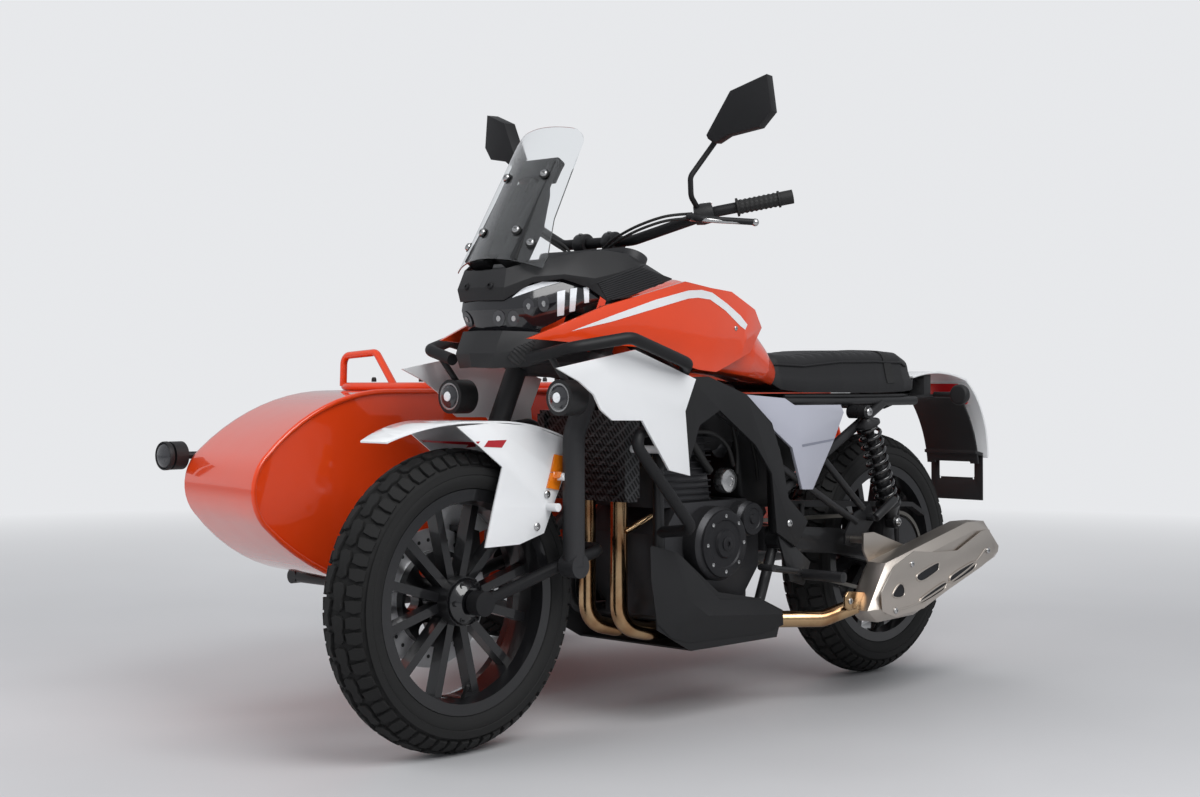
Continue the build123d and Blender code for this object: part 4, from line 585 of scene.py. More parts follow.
def mesh_piece(name: str, verts: Sequence[Point], faces: Sequence[Sequence[int]]) -> Piece:
    """Object at the origin with its place in its mesh.

    Args:
        name: name of the object.
        verts: places of its corners.
        faces: corner numbers of each face.

    Returns:
        The object, linked to the scene, its faces pointing outwards.
    """
    mesh = bpy.data.meshes.new(name)
    mesh.from_pydata([tuple(vert) for vert in verts], [], [tuple(face) for face in faces])
    with edited(mesh) as work:
        bmesh.ops.remove_doubles(work, verts=work.verts, dist=1e-6)
        bmesh.ops.recalc_face_normals(work, faces=work.faces)
    return linked(name, mesh)


def linked(name: str, mesh: bpy.types.Mesh) -> Piece:
    """Object of a mesh, in the scene."""
    piece = bpy.data.objects.new(name, mesh)
    bpy.context.scene.collection.objects.link(piece)
    return piece


def smooth(piece: Piece, angle: float = EDGE_ANGLE) -> Piece:
    """Shade smooth, with sharp edges above an angle in degrees."""
    piece.data.shade_smooth()
    piece.data.set_sharp_from_angle(angle=radians(angle))
    return piece


def settled(piece: Piece) -> Piece:
    """Turn a piece with modifiers into a plain mesh of the same name."""
    bpy.context.view_layer.update()
    graph = bpy.context.evaluated_depsgraph_get()
    mesh = bpy.data.meshes.new_from_object(piece.evaluated_get(graph))
    name = piece.name
    old = piece.data
    bpy.data.objects.remove(piece)
    if old.users == 0 and isinstance(old, bpy.types.Mesh):
        bpy.data.meshes.remove(old)
    mesh.name = name
    return linked(name, mesh)


def rounded(piece: Piece, width: float, segments: int = 2) -> Piece:
    """Round the edges of a piece and shade it smooth."""
    bevel = piece.modifiers.new("edge", "BEVEL")
    bevel.width = width
    bevel.segments = segments
    bevel.limit_method = "ANGLE"
    bevel.angle_limit = radians(EDGE_ANGLE)
    bevel.use_clamp_overlap = True
    return smooth(settled(piece), ROUND_ANGLE)


def thickened(piece: Piece, wall: float, edge: float = 0.0, offset: float = -1.0) -> Piece:
    """Give a sheet its wall, with its edges rounded if edge is given."""
    solid = piece.modifiers.new("wall", "SOLIDIFY")
    solid.thickness = wall
    solid.offset = offset
    if edge:
        return rounded(piece, edge)
    return smooth(settled(piece))


def copy_of(node: str, name: str, edge: float) -> Piece:
    """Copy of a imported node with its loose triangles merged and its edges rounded.

    Args:
        node: name of the node.
        name: name of the copy.
        edge: width of the rounding, in metres, or zero.

    Returns:
        The copy.
    """
    piece = linked(name, frame["nodes"][node].data.copy())
    with edited(piece.data) as work:
        bmesh.ops.remove_doubles(work, verts=work.verts, dist=1e-5)
        bmesh.ops.dissolve_limit(work, angle_limit=radians(1.0), verts=work.verts, edges=work.edges)
    piece.data.materials.clear()
    return rounded(piece, edge) if edge else smooth(piece, 30.0)


def joined(name: str, pieces: Sequence[Piece]) -> Piece:
    """Join plain meshes into one piece."""
    mesh = bpy.data.meshes.new(name)
    with edited(mesh) as work:
        for piece in pieces:
            work.from_mesh(piece.data)
    for piece in pieces:
        bpy.data.objects.remove(piece)
    return linked(name, mesh)


def curve_through(points: Sequence[Point], steps: int = 6, closed: bool = False) -> list[Vector]:
    """Smooth line through a few places.

    Args:
        points: the places.
        steps: points from one place to the next.
        closed: whether the line returns to its start.

    Returns:
        Points of the line.
    """
    spots = [Vector(point) for point in points]
    count = len(spots)
    line = []
    for index in range(count if closed else count - 1):
        around = [index - 1, index, index + 1, index + 2]
        if closed:
            a, b, c, d = [spots[i % count] for i in around]
        else:
            a, b, c, d = [spots[min(max(i, 0), count - 1)] for i in around]
        for step in range(steps):
            t = step / steps
            line.append(0.5 * (2 * b + (c - a) * t + (2 * a - 5 * b + 4 * c - d) * t**2
                               + (3 * b - a - 3 * c + d) * t**3))
    if not closed:
        line.append(spots[-1])
    return line


def arc_through(start: Point, middle: Point, end: Point, steps: int = 8) -> list[Vector]:
    """Circular arc through three places in a plane, given by two numbers each."""
    a, b, c = Vector(start), Vector(middle), Vector(end)
    turn = 2 * ((b - a).x * (c - a).y - (b - a).y * (c - a).x)
    if abs(turn) < 1e-9:
        return [a.lerp(c, step / steps) for step in range(steps + 1)]
    u, v = b - a, c - a
    centre = a + Vector(((v.y * u.length_squared - u.y * v.length_squared) / turn,
                         (u.x * v.length_squared - v.x * u.length_squared) / turn))
    first = atan2(a.y - centre.y, a.x - centre.x)
    last = atan2(c.y - centre.y, c.x - centre.x)
    sweep = (last - first) % tau
    if turn < 0:
        sweep -= tau
    radius = (a - centre).length
    angles = [first + sweep * step / steps for step in range(steps + 1)]
    return [centre + radius * Vector((cos(angle), sin(angle))) for angle in angles]


def skin(name: str, rings: Sequence[Sequence[Point]], closed: bool = True, caps: bool = True,
         skip: Callable[[int, int], bool] | None = None) -> Piece:
    """Surface through rings of equally many places.

    Args:
        name: name of the piece.
        rings: the rings, in order.
        closed: whether each ring is closed.
        caps: whether the first and last rings are filled.
        skip: test of a ring's and a place's number that leaves out a face.

    Returns:
        The piece.
    """
    size = len(rings[0])
    verts = [vert for ring in rings for vert in ring]
    faces = []
    for row in range(len(rings) - 1):
        for column in range(size if closed else size - 1):
            if skip and skip(row, column):
                continue
            after = (column + 1) % size
            near, far = row * size, (row + 1) * size
            faces.append((near + column, near + after, far + after, far + column))
    if caps:
        faces.append(tuple(range(size)))
        faces.append(tuple(range((len(rings) - 1) * size, len(rings) * size)))
    return mesh_piece(name, verts, faces)


def turned_frame(axis: Vector) -> tuple[Vector, Vector]:
    """Two directions square to an axis."""
    side = Vector((0, 0, 1)) if abs(axis.z) < 0.9 else Vector((0, 1, 0))
    first = axis.cross(side).normalized()
    return first, axis.cross(first).normalized()


def circle(centre: Vector, radius: float, first: Vector, second: Vector, steps: int) -> list[Vector]:
    """Places round a centre, in the plane of two directions."""
    angles = [tau * i / steps for i in range(steps)]
    return [centre + radius * (first * cos(angle) + second * sin(angle)) for angle in angles]


def lathe(name: str, centre: Point, axis: Point, profile: Sequence[tuple[float, float]], steps: int = 32,
          closed: bool = False) -> Piece:
    """Turned piece.

    Args:
        name: name of the piece.
        centre: place that the profile is measured from.
        axis: direction of the axis.
        profile: pairs of a distance along the axis and a radius.
        steps: faces round the axis.
        closed: whether the profile is a closed ring, as on a tyre.

    Returns:
        The piece.
    """
    along = Vector(axis).normalized()
    first, second = turned_frame(along)
    middle = Vector(centre)
    outline = list(profile) + ([profile[0]] if closed else [])
    rings = [circle(middle + along * distance, radius, first, second, steps) for distance, radius in outline]
    return smooth(skin(name, rings, caps=not closed))


def dome(radius: float, rise: float, base: float, tip: float) -> list[tuple[float, float]]:
    """Profile of a domed lens.

    Args:
        radius: radius of its foot, less that of its tip.
        rise: height over its foot.
        base: distance of its foot along the axis.
        tip: radius that its tip keeps.

    Returns:
        Pairs of a distance along the axis and a radius, from the foot to the tip.
    """
    angles = [pi / 2 * step / 5 for step in range(6)]
    return [(base + rise * sin(angle), radius * cos(angle) + tip) for angle in angles]


def pipe(name: str, route: Sequence[Point], radius: float | Sequence[float], sides: int = 12,
         closed: bool = False) -> Piece:
    """Round bar along a route.

    Args:
        name: name of the piece.
        route: points of its middle line.
        radius: one radius, or one for each point.
        sides: faces round it.
        closed: whether the route returns to its start.

    Returns:
        The piece.
    """
    points = [Vector(point) for point in route]
    count = len(points)
    radii = [radius] * count if isinstance(radius, float) else list(radius)
    rings = []
    normal = None
    for index, point in enumerate(points):
        if closed:
            tangent = (points[(index + 1) % count] - points[index - 1]).normalized()
        else:
            tangent = (points[min(index + 1, count - 1)] - points[max(index - 1, 0)]).normalized()
        if normal is None:
            normal = turned_frame(tangent)[0]
        normal = (normal - tangent * normal.dot(tangent)).normalized()
        across = tangent.cross(normal)
        rings.append(circle(point, radii[index], normal, across, sides))
    if closed:
        rings.append(rings[0])
    return smooth(skin(name, rings, caps=not closed), 50.0)


def slab(name: str, outline: Sequence[Point], inner: float, outer: float, edge: float = 0.0015) -> Piece:
    """Plate with a side outline, between two distances from the motorcycle's middle, its edges rounded."""
    near = [place(inner, y, z) for y, z in outline]
    far = [place(outer, y, z) for y, z in outline]
    return rounded(skin(name, [near, far]), edge)


def mirrored(piece: Piece, name: str) -> Piece:
    """Mirror image of a piece about the motorcycle's middle plane."""
    copy = linked(name, piece.data.copy())
    with edited(copy.data) as work:
        for vert in work.verts:
            vert.co.x = 2 * REAR_AXLE.x - vert.co.x
        bmesh.ops.reverse_faces(work, faces=work.faces)
    return smooth(copy, ROUND_ANGLE)


# Repeats by Geometry Nodes


class Repeat(Tree):
    """Geometry Nodes tree that repeats an item, with named inputs for what it needs."""

    def __init__(self, name: str, inputs: dict[str, str]) -> None:
        """Start a tree with the item, further inputs of the given kinds and a material.

        Args:
            name: name of the tree.
            inputs: kinds of the further inputs by their names.
        """
        super().__init__(bpy.data.node_groups.new(name, "GeometryNodeTree"))
        interface = self.tree.interface
        for label, kind in {"Geometry": "Geometry", **inputs, "Material": "Material"}.items():
            interface.new_socket(name=label, in_out="INPUT", socket_type="NodeSocket" + kind)
        interface.new_socket(name="Geometry", in_out="OUTPUT", socket_type="NodeSocketGeometry")
        self.given = self.node("NodeGroupInput").outputs

    def result(self, kind: str, settings: dict | None = None, values: dict | None = None) -> Socket:
        """First output of a new node."""
        return self.node(kind, settings, values).outputs[0]

    def scaled(self, vector: Socket, scale: object) -> Socket:
        """A vector times a number."""
        return self.result("ShaderNodeVectorMath", {"operation": "SCALE"}, {0: vector, "Scale": scale})

    def close(self, **values: Socket) -> None:
        """Put the item on points and end the tree in Realize Instances and Set Material.

        Args:
            values: inputs of Instance on Points.
        """
        spread = self.result("GeometryNodeInstanceOnPoints", values=values)
        realized = self.result("GeometryNodeRealizeInstances", values={0: spread})
        values = {0: realized, "Material": self.given["Material"]}
        self.node("NodeGroupOutput", values={0: self.result("GeometryNodeSetMaterial", values=values)})

    def applied(self, item: Piece, finish: Finish, values: dict) -> Piece:
        """Run the tree on an item.

        Args:
            item: object that is repeated.
            finish: finish of the copies.
            values: values of the further inputs by their names.

        Returns:
            The plain mesh of all copies.
        """
        modifier = item.modifiers.new("repeat", "NODES")
        modifier.node_group = self.tree
        for socket in self.tree.interface.items_tree:
            if socket.in_out == "INPUT" and socket.name != "Geometry":
                modifier[socket.identifier] = {**values, "Material": finish.material()}[socket.name]
        return smooth(settled(item), ROUND_ANGLE)


@cache
def ring_tree() -> Repeat:
    """Copies of the item turned about an axis through a centre."""
    tree = Repeat("ring_of_items", {"Count": "Int", "Centre": "Vector", "Turn": "Vector"})
    given = tree.given
    back = tree.scaled(given["Centre"], -1.0)
    moved = tree.result("GeometryNodeTransform", values={"Geometry": given["Geometry"], "Translation": back})
    points = tree.result("GeometryNodePoints", values={"Count": given["Count"], "Position": given["Centre"]})
    turn = tree.scaled(given["Turn"], tree.result("GeometryNodeInputIndex"))
    tree.close(Points=points, Instance=moved, Rotation=turn)
    return tree


@cache
def row_tree() -> Repeat:
    """Copies of the item in a straight row."""
    tree = Repeat("row_of_items", {"Count": "Int", "Step": "Vector"})
    given = tree.given
    step = tree.scaled(given["Step"], tree.result("GeometryNodeInputIndex"))
    points = tree.result("GeometryNodePoints", values={"Count": given["Count"], "Position": step})
    tree.close(Points=points, Instance=given["Geometry"])
    return tree


@cache
def spots_tree() -> Repeat:
    """Copies of the item on the points of another object, its up side along their facing."""
    tree = Repeat("items_on_spots", {"Spots": "Object"})
    spots = tree.node("GeometryNodeObjectInfo", values={"Object": tree.given["Spots"]}).outputs["Geometry"]
    facing = tree.node("GeometryNodeInputNamedAttribute", {"data_type": "FLOAT_VECTOR"}, {"Name": "facing"})
    values = {"Vector": facing.outputs["Attribute"]}
    turn = tree.result("FunctionNodeAlignRotationToVector", {"axis": "Z"}, values)
    tree.close(Points=spots, Instance=tree.given["Geometry"], Rotation=turn)
    return tree


def ring_of(item: Piece, count: int, centre: Point, finish: Finish,
            body: Body = Body.CHASSIS) -> None:
    """Commit a ring of an item about an axle through a centre."""
    values = {"Count": count, "Centre": tuple(centre), "Turn": (tau / count, 0.0, 0.0)}
    commit(ring_tree().applied(item, finish, values), finish, body)


def row_of(item: Piece, count: int, step: Point, finish: Finish) -> None:
    """Commit a row of an item on the chassis."""
    commit(row_tree().applied(item, finish, {"Count": count, "Step": tuple(step)}), finish)


def on_spots(item: Piece, finish: Finish, spots: Sequence[Point],
             facings: Sequence[Point]) -> Piece:
    """Items on places, each turned to its facing."""
    mesh = bpy.data.meshes.new("spots")
    mesh.from_pydata([tuple(spot) for spot in spots], [], [])
    facing = mesh.attributes.new("facing", "FLOAT_VECTOR", "POINT")
    facing.data.foreach_set("vector", [number for vector in facings for number in vector])
    holder = linked("spots", mesh)
    piece = spots_tree().applied(item, finish, {"Spots": holder})
    bpy.data.objects.remove(holder)
    return piece


def commit(piece: Piece, finish: Finish, body: Body = Body.CHASSIS,
           replaced: Sequence[str] = ()) -> Piece:
    """Dress a piece, let it ride on its body and report it.

    Args:
        piece: finished piece at the origin.
        finish: its finish.
        body: body that it rides on.
        replaced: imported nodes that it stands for.

    Returns:
        The piece.
    """
    piece.data.materials.clear()
    piece.data.materials.append(finish.material())
    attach(piece, body.value)
    if replaced:
        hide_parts(*[node for node in replaced if node in frame["nodes"]])
    log.info("%s: %d faces, on %s", piece.name, len(piece.data.polygons), body.value)
    return piece


def bolt(name: str, radius: float, height: float) -> Piece:
    """Button-head bolt with a six-sided socket, pointing up from the origin."""
    corners = 18
    across, up = Vector((1, 0, 0)), Vector((0, 1, 0))
    rows = [(0.0, radius), (0.55 * height, radius), (0.9 * height, 0.8 * radius), (height, 0.55 * radius)]
    rings = [circle(Vector((0, 0, z)), r, across, up, corners) for z, r in rows]
    flat = 0.42 * radius
    for depth in (height, 0.35 * height):
        ring = []
        for i in range(corners):
            angle = tau * i / corners
            reach = flat * cos(pi / 6) / cos((angle % (pi / 3)) - pi / 6)
            ring.append(Vector((reach * cos(angle), reach * sin(angle), depth)))
        rings.append(ring)
    return skin(name, rings)


def bolts(name: str, spots: Sequence[Vector], facing: Point | Sequence[Point], radius: float, finish: Finish,
          body: Body = Body.CHASSIS, height: float | None = None) -> None:
    """Bolts on places, all facing one way or each its own."""
    facings = [facing] * len(spots) if isinstance(facing[0], (int, float)) else list(facing)
    item = bolt(name, radius, height or 0.6 * radius)
    commit(on_spots(item, finish, spots, facings), finish, body)


# Wheels


@dataclass
class Tyre:
    """Block-tread tyre: a turned carcass and a ring of tread blocks."""

    name: str
    centre: Vector
    body: Body
    node: str
    outer_radius: float = 0.3195
    crown: float = 0.075
    crown_half: float = radians(62)
    depth: float = 0.007
    pitches: int = 30

    # Outlines of the blocks of one pitch: distance from the middle line in metres and share of the pitch
    blocks: tuple = (
        ((0.002, 0.10), (0.012, 0.02), (0.026, 0.06), (0.031, 0.30), (0.027, 0.52), (0.030, 0.78),
         (0.022, 0.90), (0.006, 0.84), (0.010, 0.56), (0.005, 0.34)),
        ((0.036, 0.12), (0.050, 0.04), (0.068, 0.10), (0.069, 0.42), (0.055, 0.46), (0.036, 0.40)),
        ((0.034, 0.58), (0.052, 0.54), (0.070, 0.56), (0.069, 0.90), (0.054, 0.96), (0.037, 0.88)),
    )
    # Heights of a block's foot, shoulder and top over the tread, and the share of its outline there
    levels: tuple = ((-0.008, 1.06), (-0.0012, 1.0), (0.0, 0.93))
    # Sidewall and bead: distance from the middle line and radius
    walls: tuple = (
        (0.0632, 0.281), (0.0645, 0.272), (0.0648, 0.266), (0.0632, 0.2645), (0.0645, 0.262), (0.0638, 0.252),
        (0.0605, 0.243), (0.0578, 0.2375), (0.0545, 0.2362), (0.050, 0.2325), (0.0475, 0.226),
        (0.0475, 0.2205),
    )

    def on_tread(self, across: float, around: float, height: float) -> Vector:
        """Place on the tread.

        Args:
            across: distance from the middle line along the crown.
            around: angle about the axle.
            height: height over the outer surface.

        Returns:
            The place.
        """
        lean = across / self.crown
        reach = self.crown + height
        radius = self.outer_radius - self.crown + reach * cos(lean)
        return self.centre + Vector((reach * sin(lean), radius * cos(around), radius * sin(around)))

    def block(self, outline: Sequence[tuple[float, float]], side: int, start: float) -> Piece:
        """One tread block with sloping walls and a softened top."""
        pitch = tau / self.pitches
        middle = Vector((sum(u for u, _ in outline), sum(v for _, v in outline))) / len(outline)
        rings = []
        for height, share in self.levels:
            ring = []
            for u, v in outline:
                point = middle + (Vector((u, v)) - middle) * share
                ring.append(self.on_tread(side * point.x, (start + point.y) * pitch, height))
            rings.append(ring)
        return skin(self.name + "_block", rings)

    def build(self) -> None:
        """Carcass with sidewalls and beads, and the tread round it."""
        profile = []
        inner = self.crown - self.depth
        for step in range(9):
            lean = self.crown_half * step / 8
            profile.append((inner * sin(lean), self.outer_radius - self.crown + inner * cos(lean)))
        half = profile + list(self.walls)
        outline = half + [(-x, r) for x, r in reversed(half)][:-1]
        carcass = lathe(self.name + "_carcass", self.centre, (1, 0, 0), outline, 120, True)
        commit(carcass, TYRE_RUBBER, self.body, [self.node])
        pieces = []
        for outline in self.blocks:
            pieces += [self.block(outline, 1, 0.0), self.block(outline, -1, 0.5)]
        tread = joined(self.name + "_tread", pieces)
        ring_of(tread, self.pitches, self.centre, TYRE_RUBBER, self.body)


@dataclass
class WheelTrim:
    """Small pieces on a cast wheel: hub cap with windows, disc bolts and holes, and valve.

    Profiles are distances along the axle and radii, and a spot is a distance along the axle and one from it.
    """

    name: str
    centre: Vector
    body: Body
    disc_side: int
    cap_side: int = 1

    cap: tuple = ((0.030, 0.051), (0.046, 0.050), (0.052, 0.046), (0.060, 0.034), (0.064, 0.030),
                  (0.064, 0.018), (0.060, 0.016), (0.040, 0.016))
    window: tuple = ((-0.002, 0.0062), (0.0035, 0.0062), (0.0035, 0.004), (0.001, 0.0035))
    window_spot: tuple = (0.0535, 0.040)
    window_count: int = 6
    bolt_spot: tuple = (0.0665, 0.088)
    bolt_radius: float = 0.0075
    bolt_count: int = 6
    hole: tuple = ((-0.0031, 0.0042), (0.0031, 0.0042))
    hole_circle: float = 0.124
    hole_count: int = 30
    valve: tuple = ((0.0, 0.004), (0.022, 0.004), (0.024, 0.005), (0.036, 0.005), (0.038, 0.003))
    valve_spot: tuple = (0.030, -0.204)

    def build(self) -> None:
        """Cap and valve on the open side, bolts and holes on the disc side."""
        open_side = Vector((self.cap_side, 0, 0))
        disc_side = Vector((self.disc_side, 0, 0))
        cap = lathe(self.name + "_hub_cap", self.centre, open_side, self.cap, 48)
        commit(cap, GLOSS_BLACK, self.body)
        out, reach = self.window_spot
        middle = self.centre + Vector((self.cap_side * out, reach, 0))
        window = lathe(self.name + "_windows", middle, open_side, self.window, 16)
        ring_of(window, self.window_count, self.centre, SATIN_FRAME, self.body)
        out, reach = self.bolt_spot
        middle = self.centre + disc_side * out
        spots = circle(middle, reach, Vector((0, 1, 0)), Vector((0, 0, 1)), self.bolt_count)
        bolts(self.name + "_disc_bolts", spots, disc_side, self.bolt_radius, STEEL, self.body)
        # The disc's holes are black plugs: painted shade for the openings
        middle = self.centre + Vector((self.disc_side * DISC_PLANE, self.hole_circle, 0))
        hole = lathe(self.name + "_disc_holes", middle, (1, 0, 0), self.hole, 12)
        ring_of(hole, self.hole_count, self.centre, BLACK_PLASTIC, self.body)
        out, reach = self.valve_spot
        root = self.centre + Vector((self.cap_side * out, 0.0, reach))
        valve = lathe(self.name + "_valve", root, (self.cap_side * 0.6, 0, 1), self.valve, 12)
        commit(valve, RUBBER, self.body)


# Sidecar


@dataclass
class SidecarShell:
    """Wrapped skin of the tub, ruled from the flat inner side to the outer shoulder and rounded beyond it.

    Each section has its distance from the motorcycle and, in a side view, the deck's end and front, the brow,
    nose top, nose, nose foot, chin, floor front and end, tail and tail top.
    """

    wall: float = 0.004
    strip: float = 0.012
    cap_inset: float = 0.10
    cap_bulge: float = 0.005
    rim_inset: float = 0.004
    rolled_edge: float = 0.0062
    # Rows of fasteners on the coaming: distances from the motorcycle and from the rear axle, and height
    fastener_lines: tuple = (-0.474, -0.825)
    fastener_rows: tuple = (-1.02, -0.86, -0.70, -0.54, -0.40)
    fastener_height: float = 0.7765
    sections: tuple = (
        (-0.400, ((0.36, 0.755), (-1.33, 0.755), (-1.54, 0.705), (-1.66, 0.62), (-1.70, 0.544),
                  (-1.66, 0.455), (-1.49, 0.346), (-1.25, 0.3005), (0.25, 0.3005), (0.395, 0.37),
                  (0.45, 0.54))),
        (-0.8526, ((0.36, 0.755), (-1.15, 0.755), (-1.39, 0.705), (-1.535, 0.615), (-1.575, 0.545),
                   (-1.548, 0.462), (-1.40, 0.346), (-1.16, 0.3005), (0.25, 0.3005), (0.39, 0.37),
                   (0.44, 0.54))),
        (-0.945, ((0.335, 0.724), (-1.06, 0.724), (-1.21, 0.690), (-1.305, 0.615), (-1.335, 0.548),
                  (-1.315, 0.475), (-1.22, 0.380), (-1.09, 0.332), (0.225, 0.332), (0.338, 0.39),
                  (0.378, 0.52))),
    )

    def ring(self, x: float, spots: Sequence[Point]) -> list[Vector]:
        """Places round one section, with a narrow strip at each end of the deck."""
        corners = [Vector(spot) for spot in spots]
        end, front, brow, top, nose, foot, chin, floor_front, floor_end, tail, tail_top = corners
        reach = (front - end).normalized() * self.strip
        line = [end, end + reach]
        line += [(end + reach).lerp(front - reach, step / 12) for step in range(1, 12)]
        line += [front - reach]
        for start, middle, stop in ((front, brow, top), (top, nose, foot), (foot, chin, floor_front)):
            line += arc_through(start, middle, stop, 10)[:-1]
        line += [floor_front.lerp(floor_end, step / 8) for step in range(8)]
        line += arc_through(floor_end, tail, tail_top, 8)[:-1]
        line += [tail_top.lerp(end, step / 4) for step in range(4)]
        return [place(x, y, z) for y, z in line]

    def build(self) -> None:
        """Skin, side wall with its rolled edge, and fasteners on the coaming."""
        first, second, third = [self.ring(x, spots) for x, spots in self.sections]
        rings = [first]
        span = self.sections[1][0] - self.sections[0][0]
        for share in (0.25, 0.5, 0.75, 1 + self.strip / span):
            rings.append([a.lerp(b, share) for a, b in zip(first, second)])
        columns = len(first)
        middle = sum(third, Vector()) / columns
        cap = [point.lerp(middle, self.cap_inset) + Vector((-self.cap_bulge, 0, 0)) for point in third]
        shoulder = [curve_through([rings[-1][i], second[i], third[i], cap[i]], 4) for i in range(columns)]
        rings += [[line[row] for line in shoulder] for row in range(4, len(shoulder[0]))]

        def is_deck(row: int, column: int) -> bool:
            """Whether a face lies where the deck plate is let in."""
            return row < 4 and 1 <= column < 13

        shell = skin("sidecar_shell", rings, caps=False, skip=is_deck)
        rim_plane = place(self.sections[-1][0] - self.rim_inset, 0, 0).x
        with edited(shell.data) as work:
            rim = [edge for edge in work.edges
                   if edge.is_boundary and all(vert.co.x < rim_plane for vert in edge.verts)]
            bmesh.ops.contextual_create(work, geom=rim)
            bmesh.ops.recalc_face_normals(work, faces=work.faces)
        shell = thickened(shell, self.wall)
        commit(smooth(shell, 50.0), ORANGE_PAINT, replaced=["sidecar_tub"])
        line = [point + Vector((0.003, 0, 0)) for point in first]
        commit(pipe("sidecar_rolled_edge", line, self.rolled_edge, 10, True), ORANGE_PAINT)
        spots = [place(x, y, self.fastener_height) for x in self.fastener_lines for y in self.fastener_rows]
        bolts("coaming_fasteners", spots, (0, 0, 1), 0.0065, BLACK_PLASTIC, height=0.012)


@dataclass
class Cushion:
    """Stuffed sidecar cushion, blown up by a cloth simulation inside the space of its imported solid."""

    node: str
    channels: int = 4
    channel_depth: float = 0.007
    channel_slope: float = 2.2
    plain_ends: float = 0.06
    inset: float = 0.010
    cap: float = 0.012
    voxel: float = 0.006
    pressure: float = 4.0
    frames: int = 20

    def stuffed(self, piece: Piece) -> Piece:
        """Let the cover swell under pressure and hold every point near its start."""
        remesh = piece.modifiers.new("cover", "REMESH")
        remesh.mode = "VOXEL"
        remesh.voxel_size = self.voxel
        piece = settled(piece)
        starts = [vert.co.copy() for vert in piece.data.vertices]
        cloth = piece.modifiers.new("cloth", "CLOTH")
        cloth.settings.use_pressure = True
        cloth.settings.uniform_pressure_force = self.pressure
        cloth.settings.effector_weights.gravity = 0.0
        cloth.point_cache.frame_end = self.frames
        for step in range(1, self.frames + 1):
            bpy.context.scene.frame_set(step)
        piece = settled(piece)
        for vert, start in zip(piece.data.vertices, starts):
            move = vert.co - start
            if move.length > self.cap:
                vert.co = start + move * (self.cap / move.length)
        bpy.context.scene.frame_set(1)
        return piece

    def build(self) -> None:
        """Cushion with sewn channels across it, all but at its ends."""
        low, high = [Vector(corner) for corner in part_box(self.node)]
        low += Vector((self.inset,) * 3)
        high -= Vector((self.inset,) * 3)
        source = copy_of(self.node, self.node + "_cushion", 0.0)
        middle = (low + high) / 2
        size = high - low
        for vert in source.data.vertices:
            for axis, length in enumerate(size):
                off = (vert.co[axis] - middle[axis]) * length
                vert.co[axis] = middle[axis] + off / (length + 2 * self.inset)
        piece = self.stuffed(rounded(source, 0.012, 3))
        long_way = 1 if size.y > size.z else 2
        for vert in piece.data.vertices:
            share = (vert.co[long_way] - low[long_way]) / size[long_way]
            wave = abs(sin(pi * self.channels * share))
            if self.plain_ends < share < 1 - self.plain_ends:
                depth = self.channel_depth * (1 - min(1.0, wave * self.channel_slope))
                vert.co += (middle - vert.co).normalized() * depth
        fine = piece.modifiers.new("fine", "SUBSURF")
        fine.levels = fine.render_levels = 1
        piece = commit(smooth(settled(piece), 60.0), VINYL, replaced=[self.node])


@dataclass
class SidecarTrim:
    """Nose lamp, tail light and the lid's lock."""

    nose_lamp: tuple = (-0.895, -1.590, 0.600)
    nose_radius: float = 0.034
    tail_lamp: tuple = (-0.620, 0.478, 0.580)
    tail_radius: float = 0.030
    seat: float = 0.012
    lock: tuple = ((0.0, 0.011), (0.002, 0.011), (0.0035, 0.009), (0.0035, 0.003), (0.001, 0.0025))
    lock_inset: float = 0.03

    def lens(self, name: str, spot: Point, facing: int, radius: float, finish: Finish, slot: str) -> None:
        """Domed lens in a rim.

        Args:
            name: start of the pieces' names.
            spot: place of the lamp.
            facing: 1 if it looks backwards, -1 if forwards.
            radius: radius of the rim's opening.
            finish: finish of the lens.
            slot: material slot of the lens; not used.
        """
        centre = place(*spot) - Vector((0, self.seat, 0))
        axis = (0, facing, 0)
        profile = [(0.0, radius * 0.92)] + dome(radius * 0.9, 0.012, 0.0, 0.0004)
        commit(lathe(name + "_lens", centre, axis, profile, 28), finish)
        rim = [(-0.006, radius * 1.02), (0.003, radius * 1.02), (0.006, radius * 0.97), (0.003, radius * 0.9),
               (-0.006, radius * 0.9)]
        commit(lathe(name + "_rim", centre, axis, rim, 36), BLACK_PLASTIC)

    def build(self) -> None:
        """Nose lamp with a dark faceted lens, red tail light and lock."""
        self.lens("nose_lamp", self.nose_lamp, -1, self.nose_radius, SMOKED_LENS, "lamp_glass")
        self.lens("tail_light", self.tail_lamp, 1, self.tail_radius, RED_LENS, "red_lens")
        low, high = [Vector(corner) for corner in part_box("trunk_lid")]
        lock = Vector(((low.x + high.x) / 2, high.y - self.lock_inset, high.z - 0.001))
        commit(lathe("lid_lock", lock, (0, 0, 1), self.lock, 24), STEEL, Body.LID)


# Motorcycle


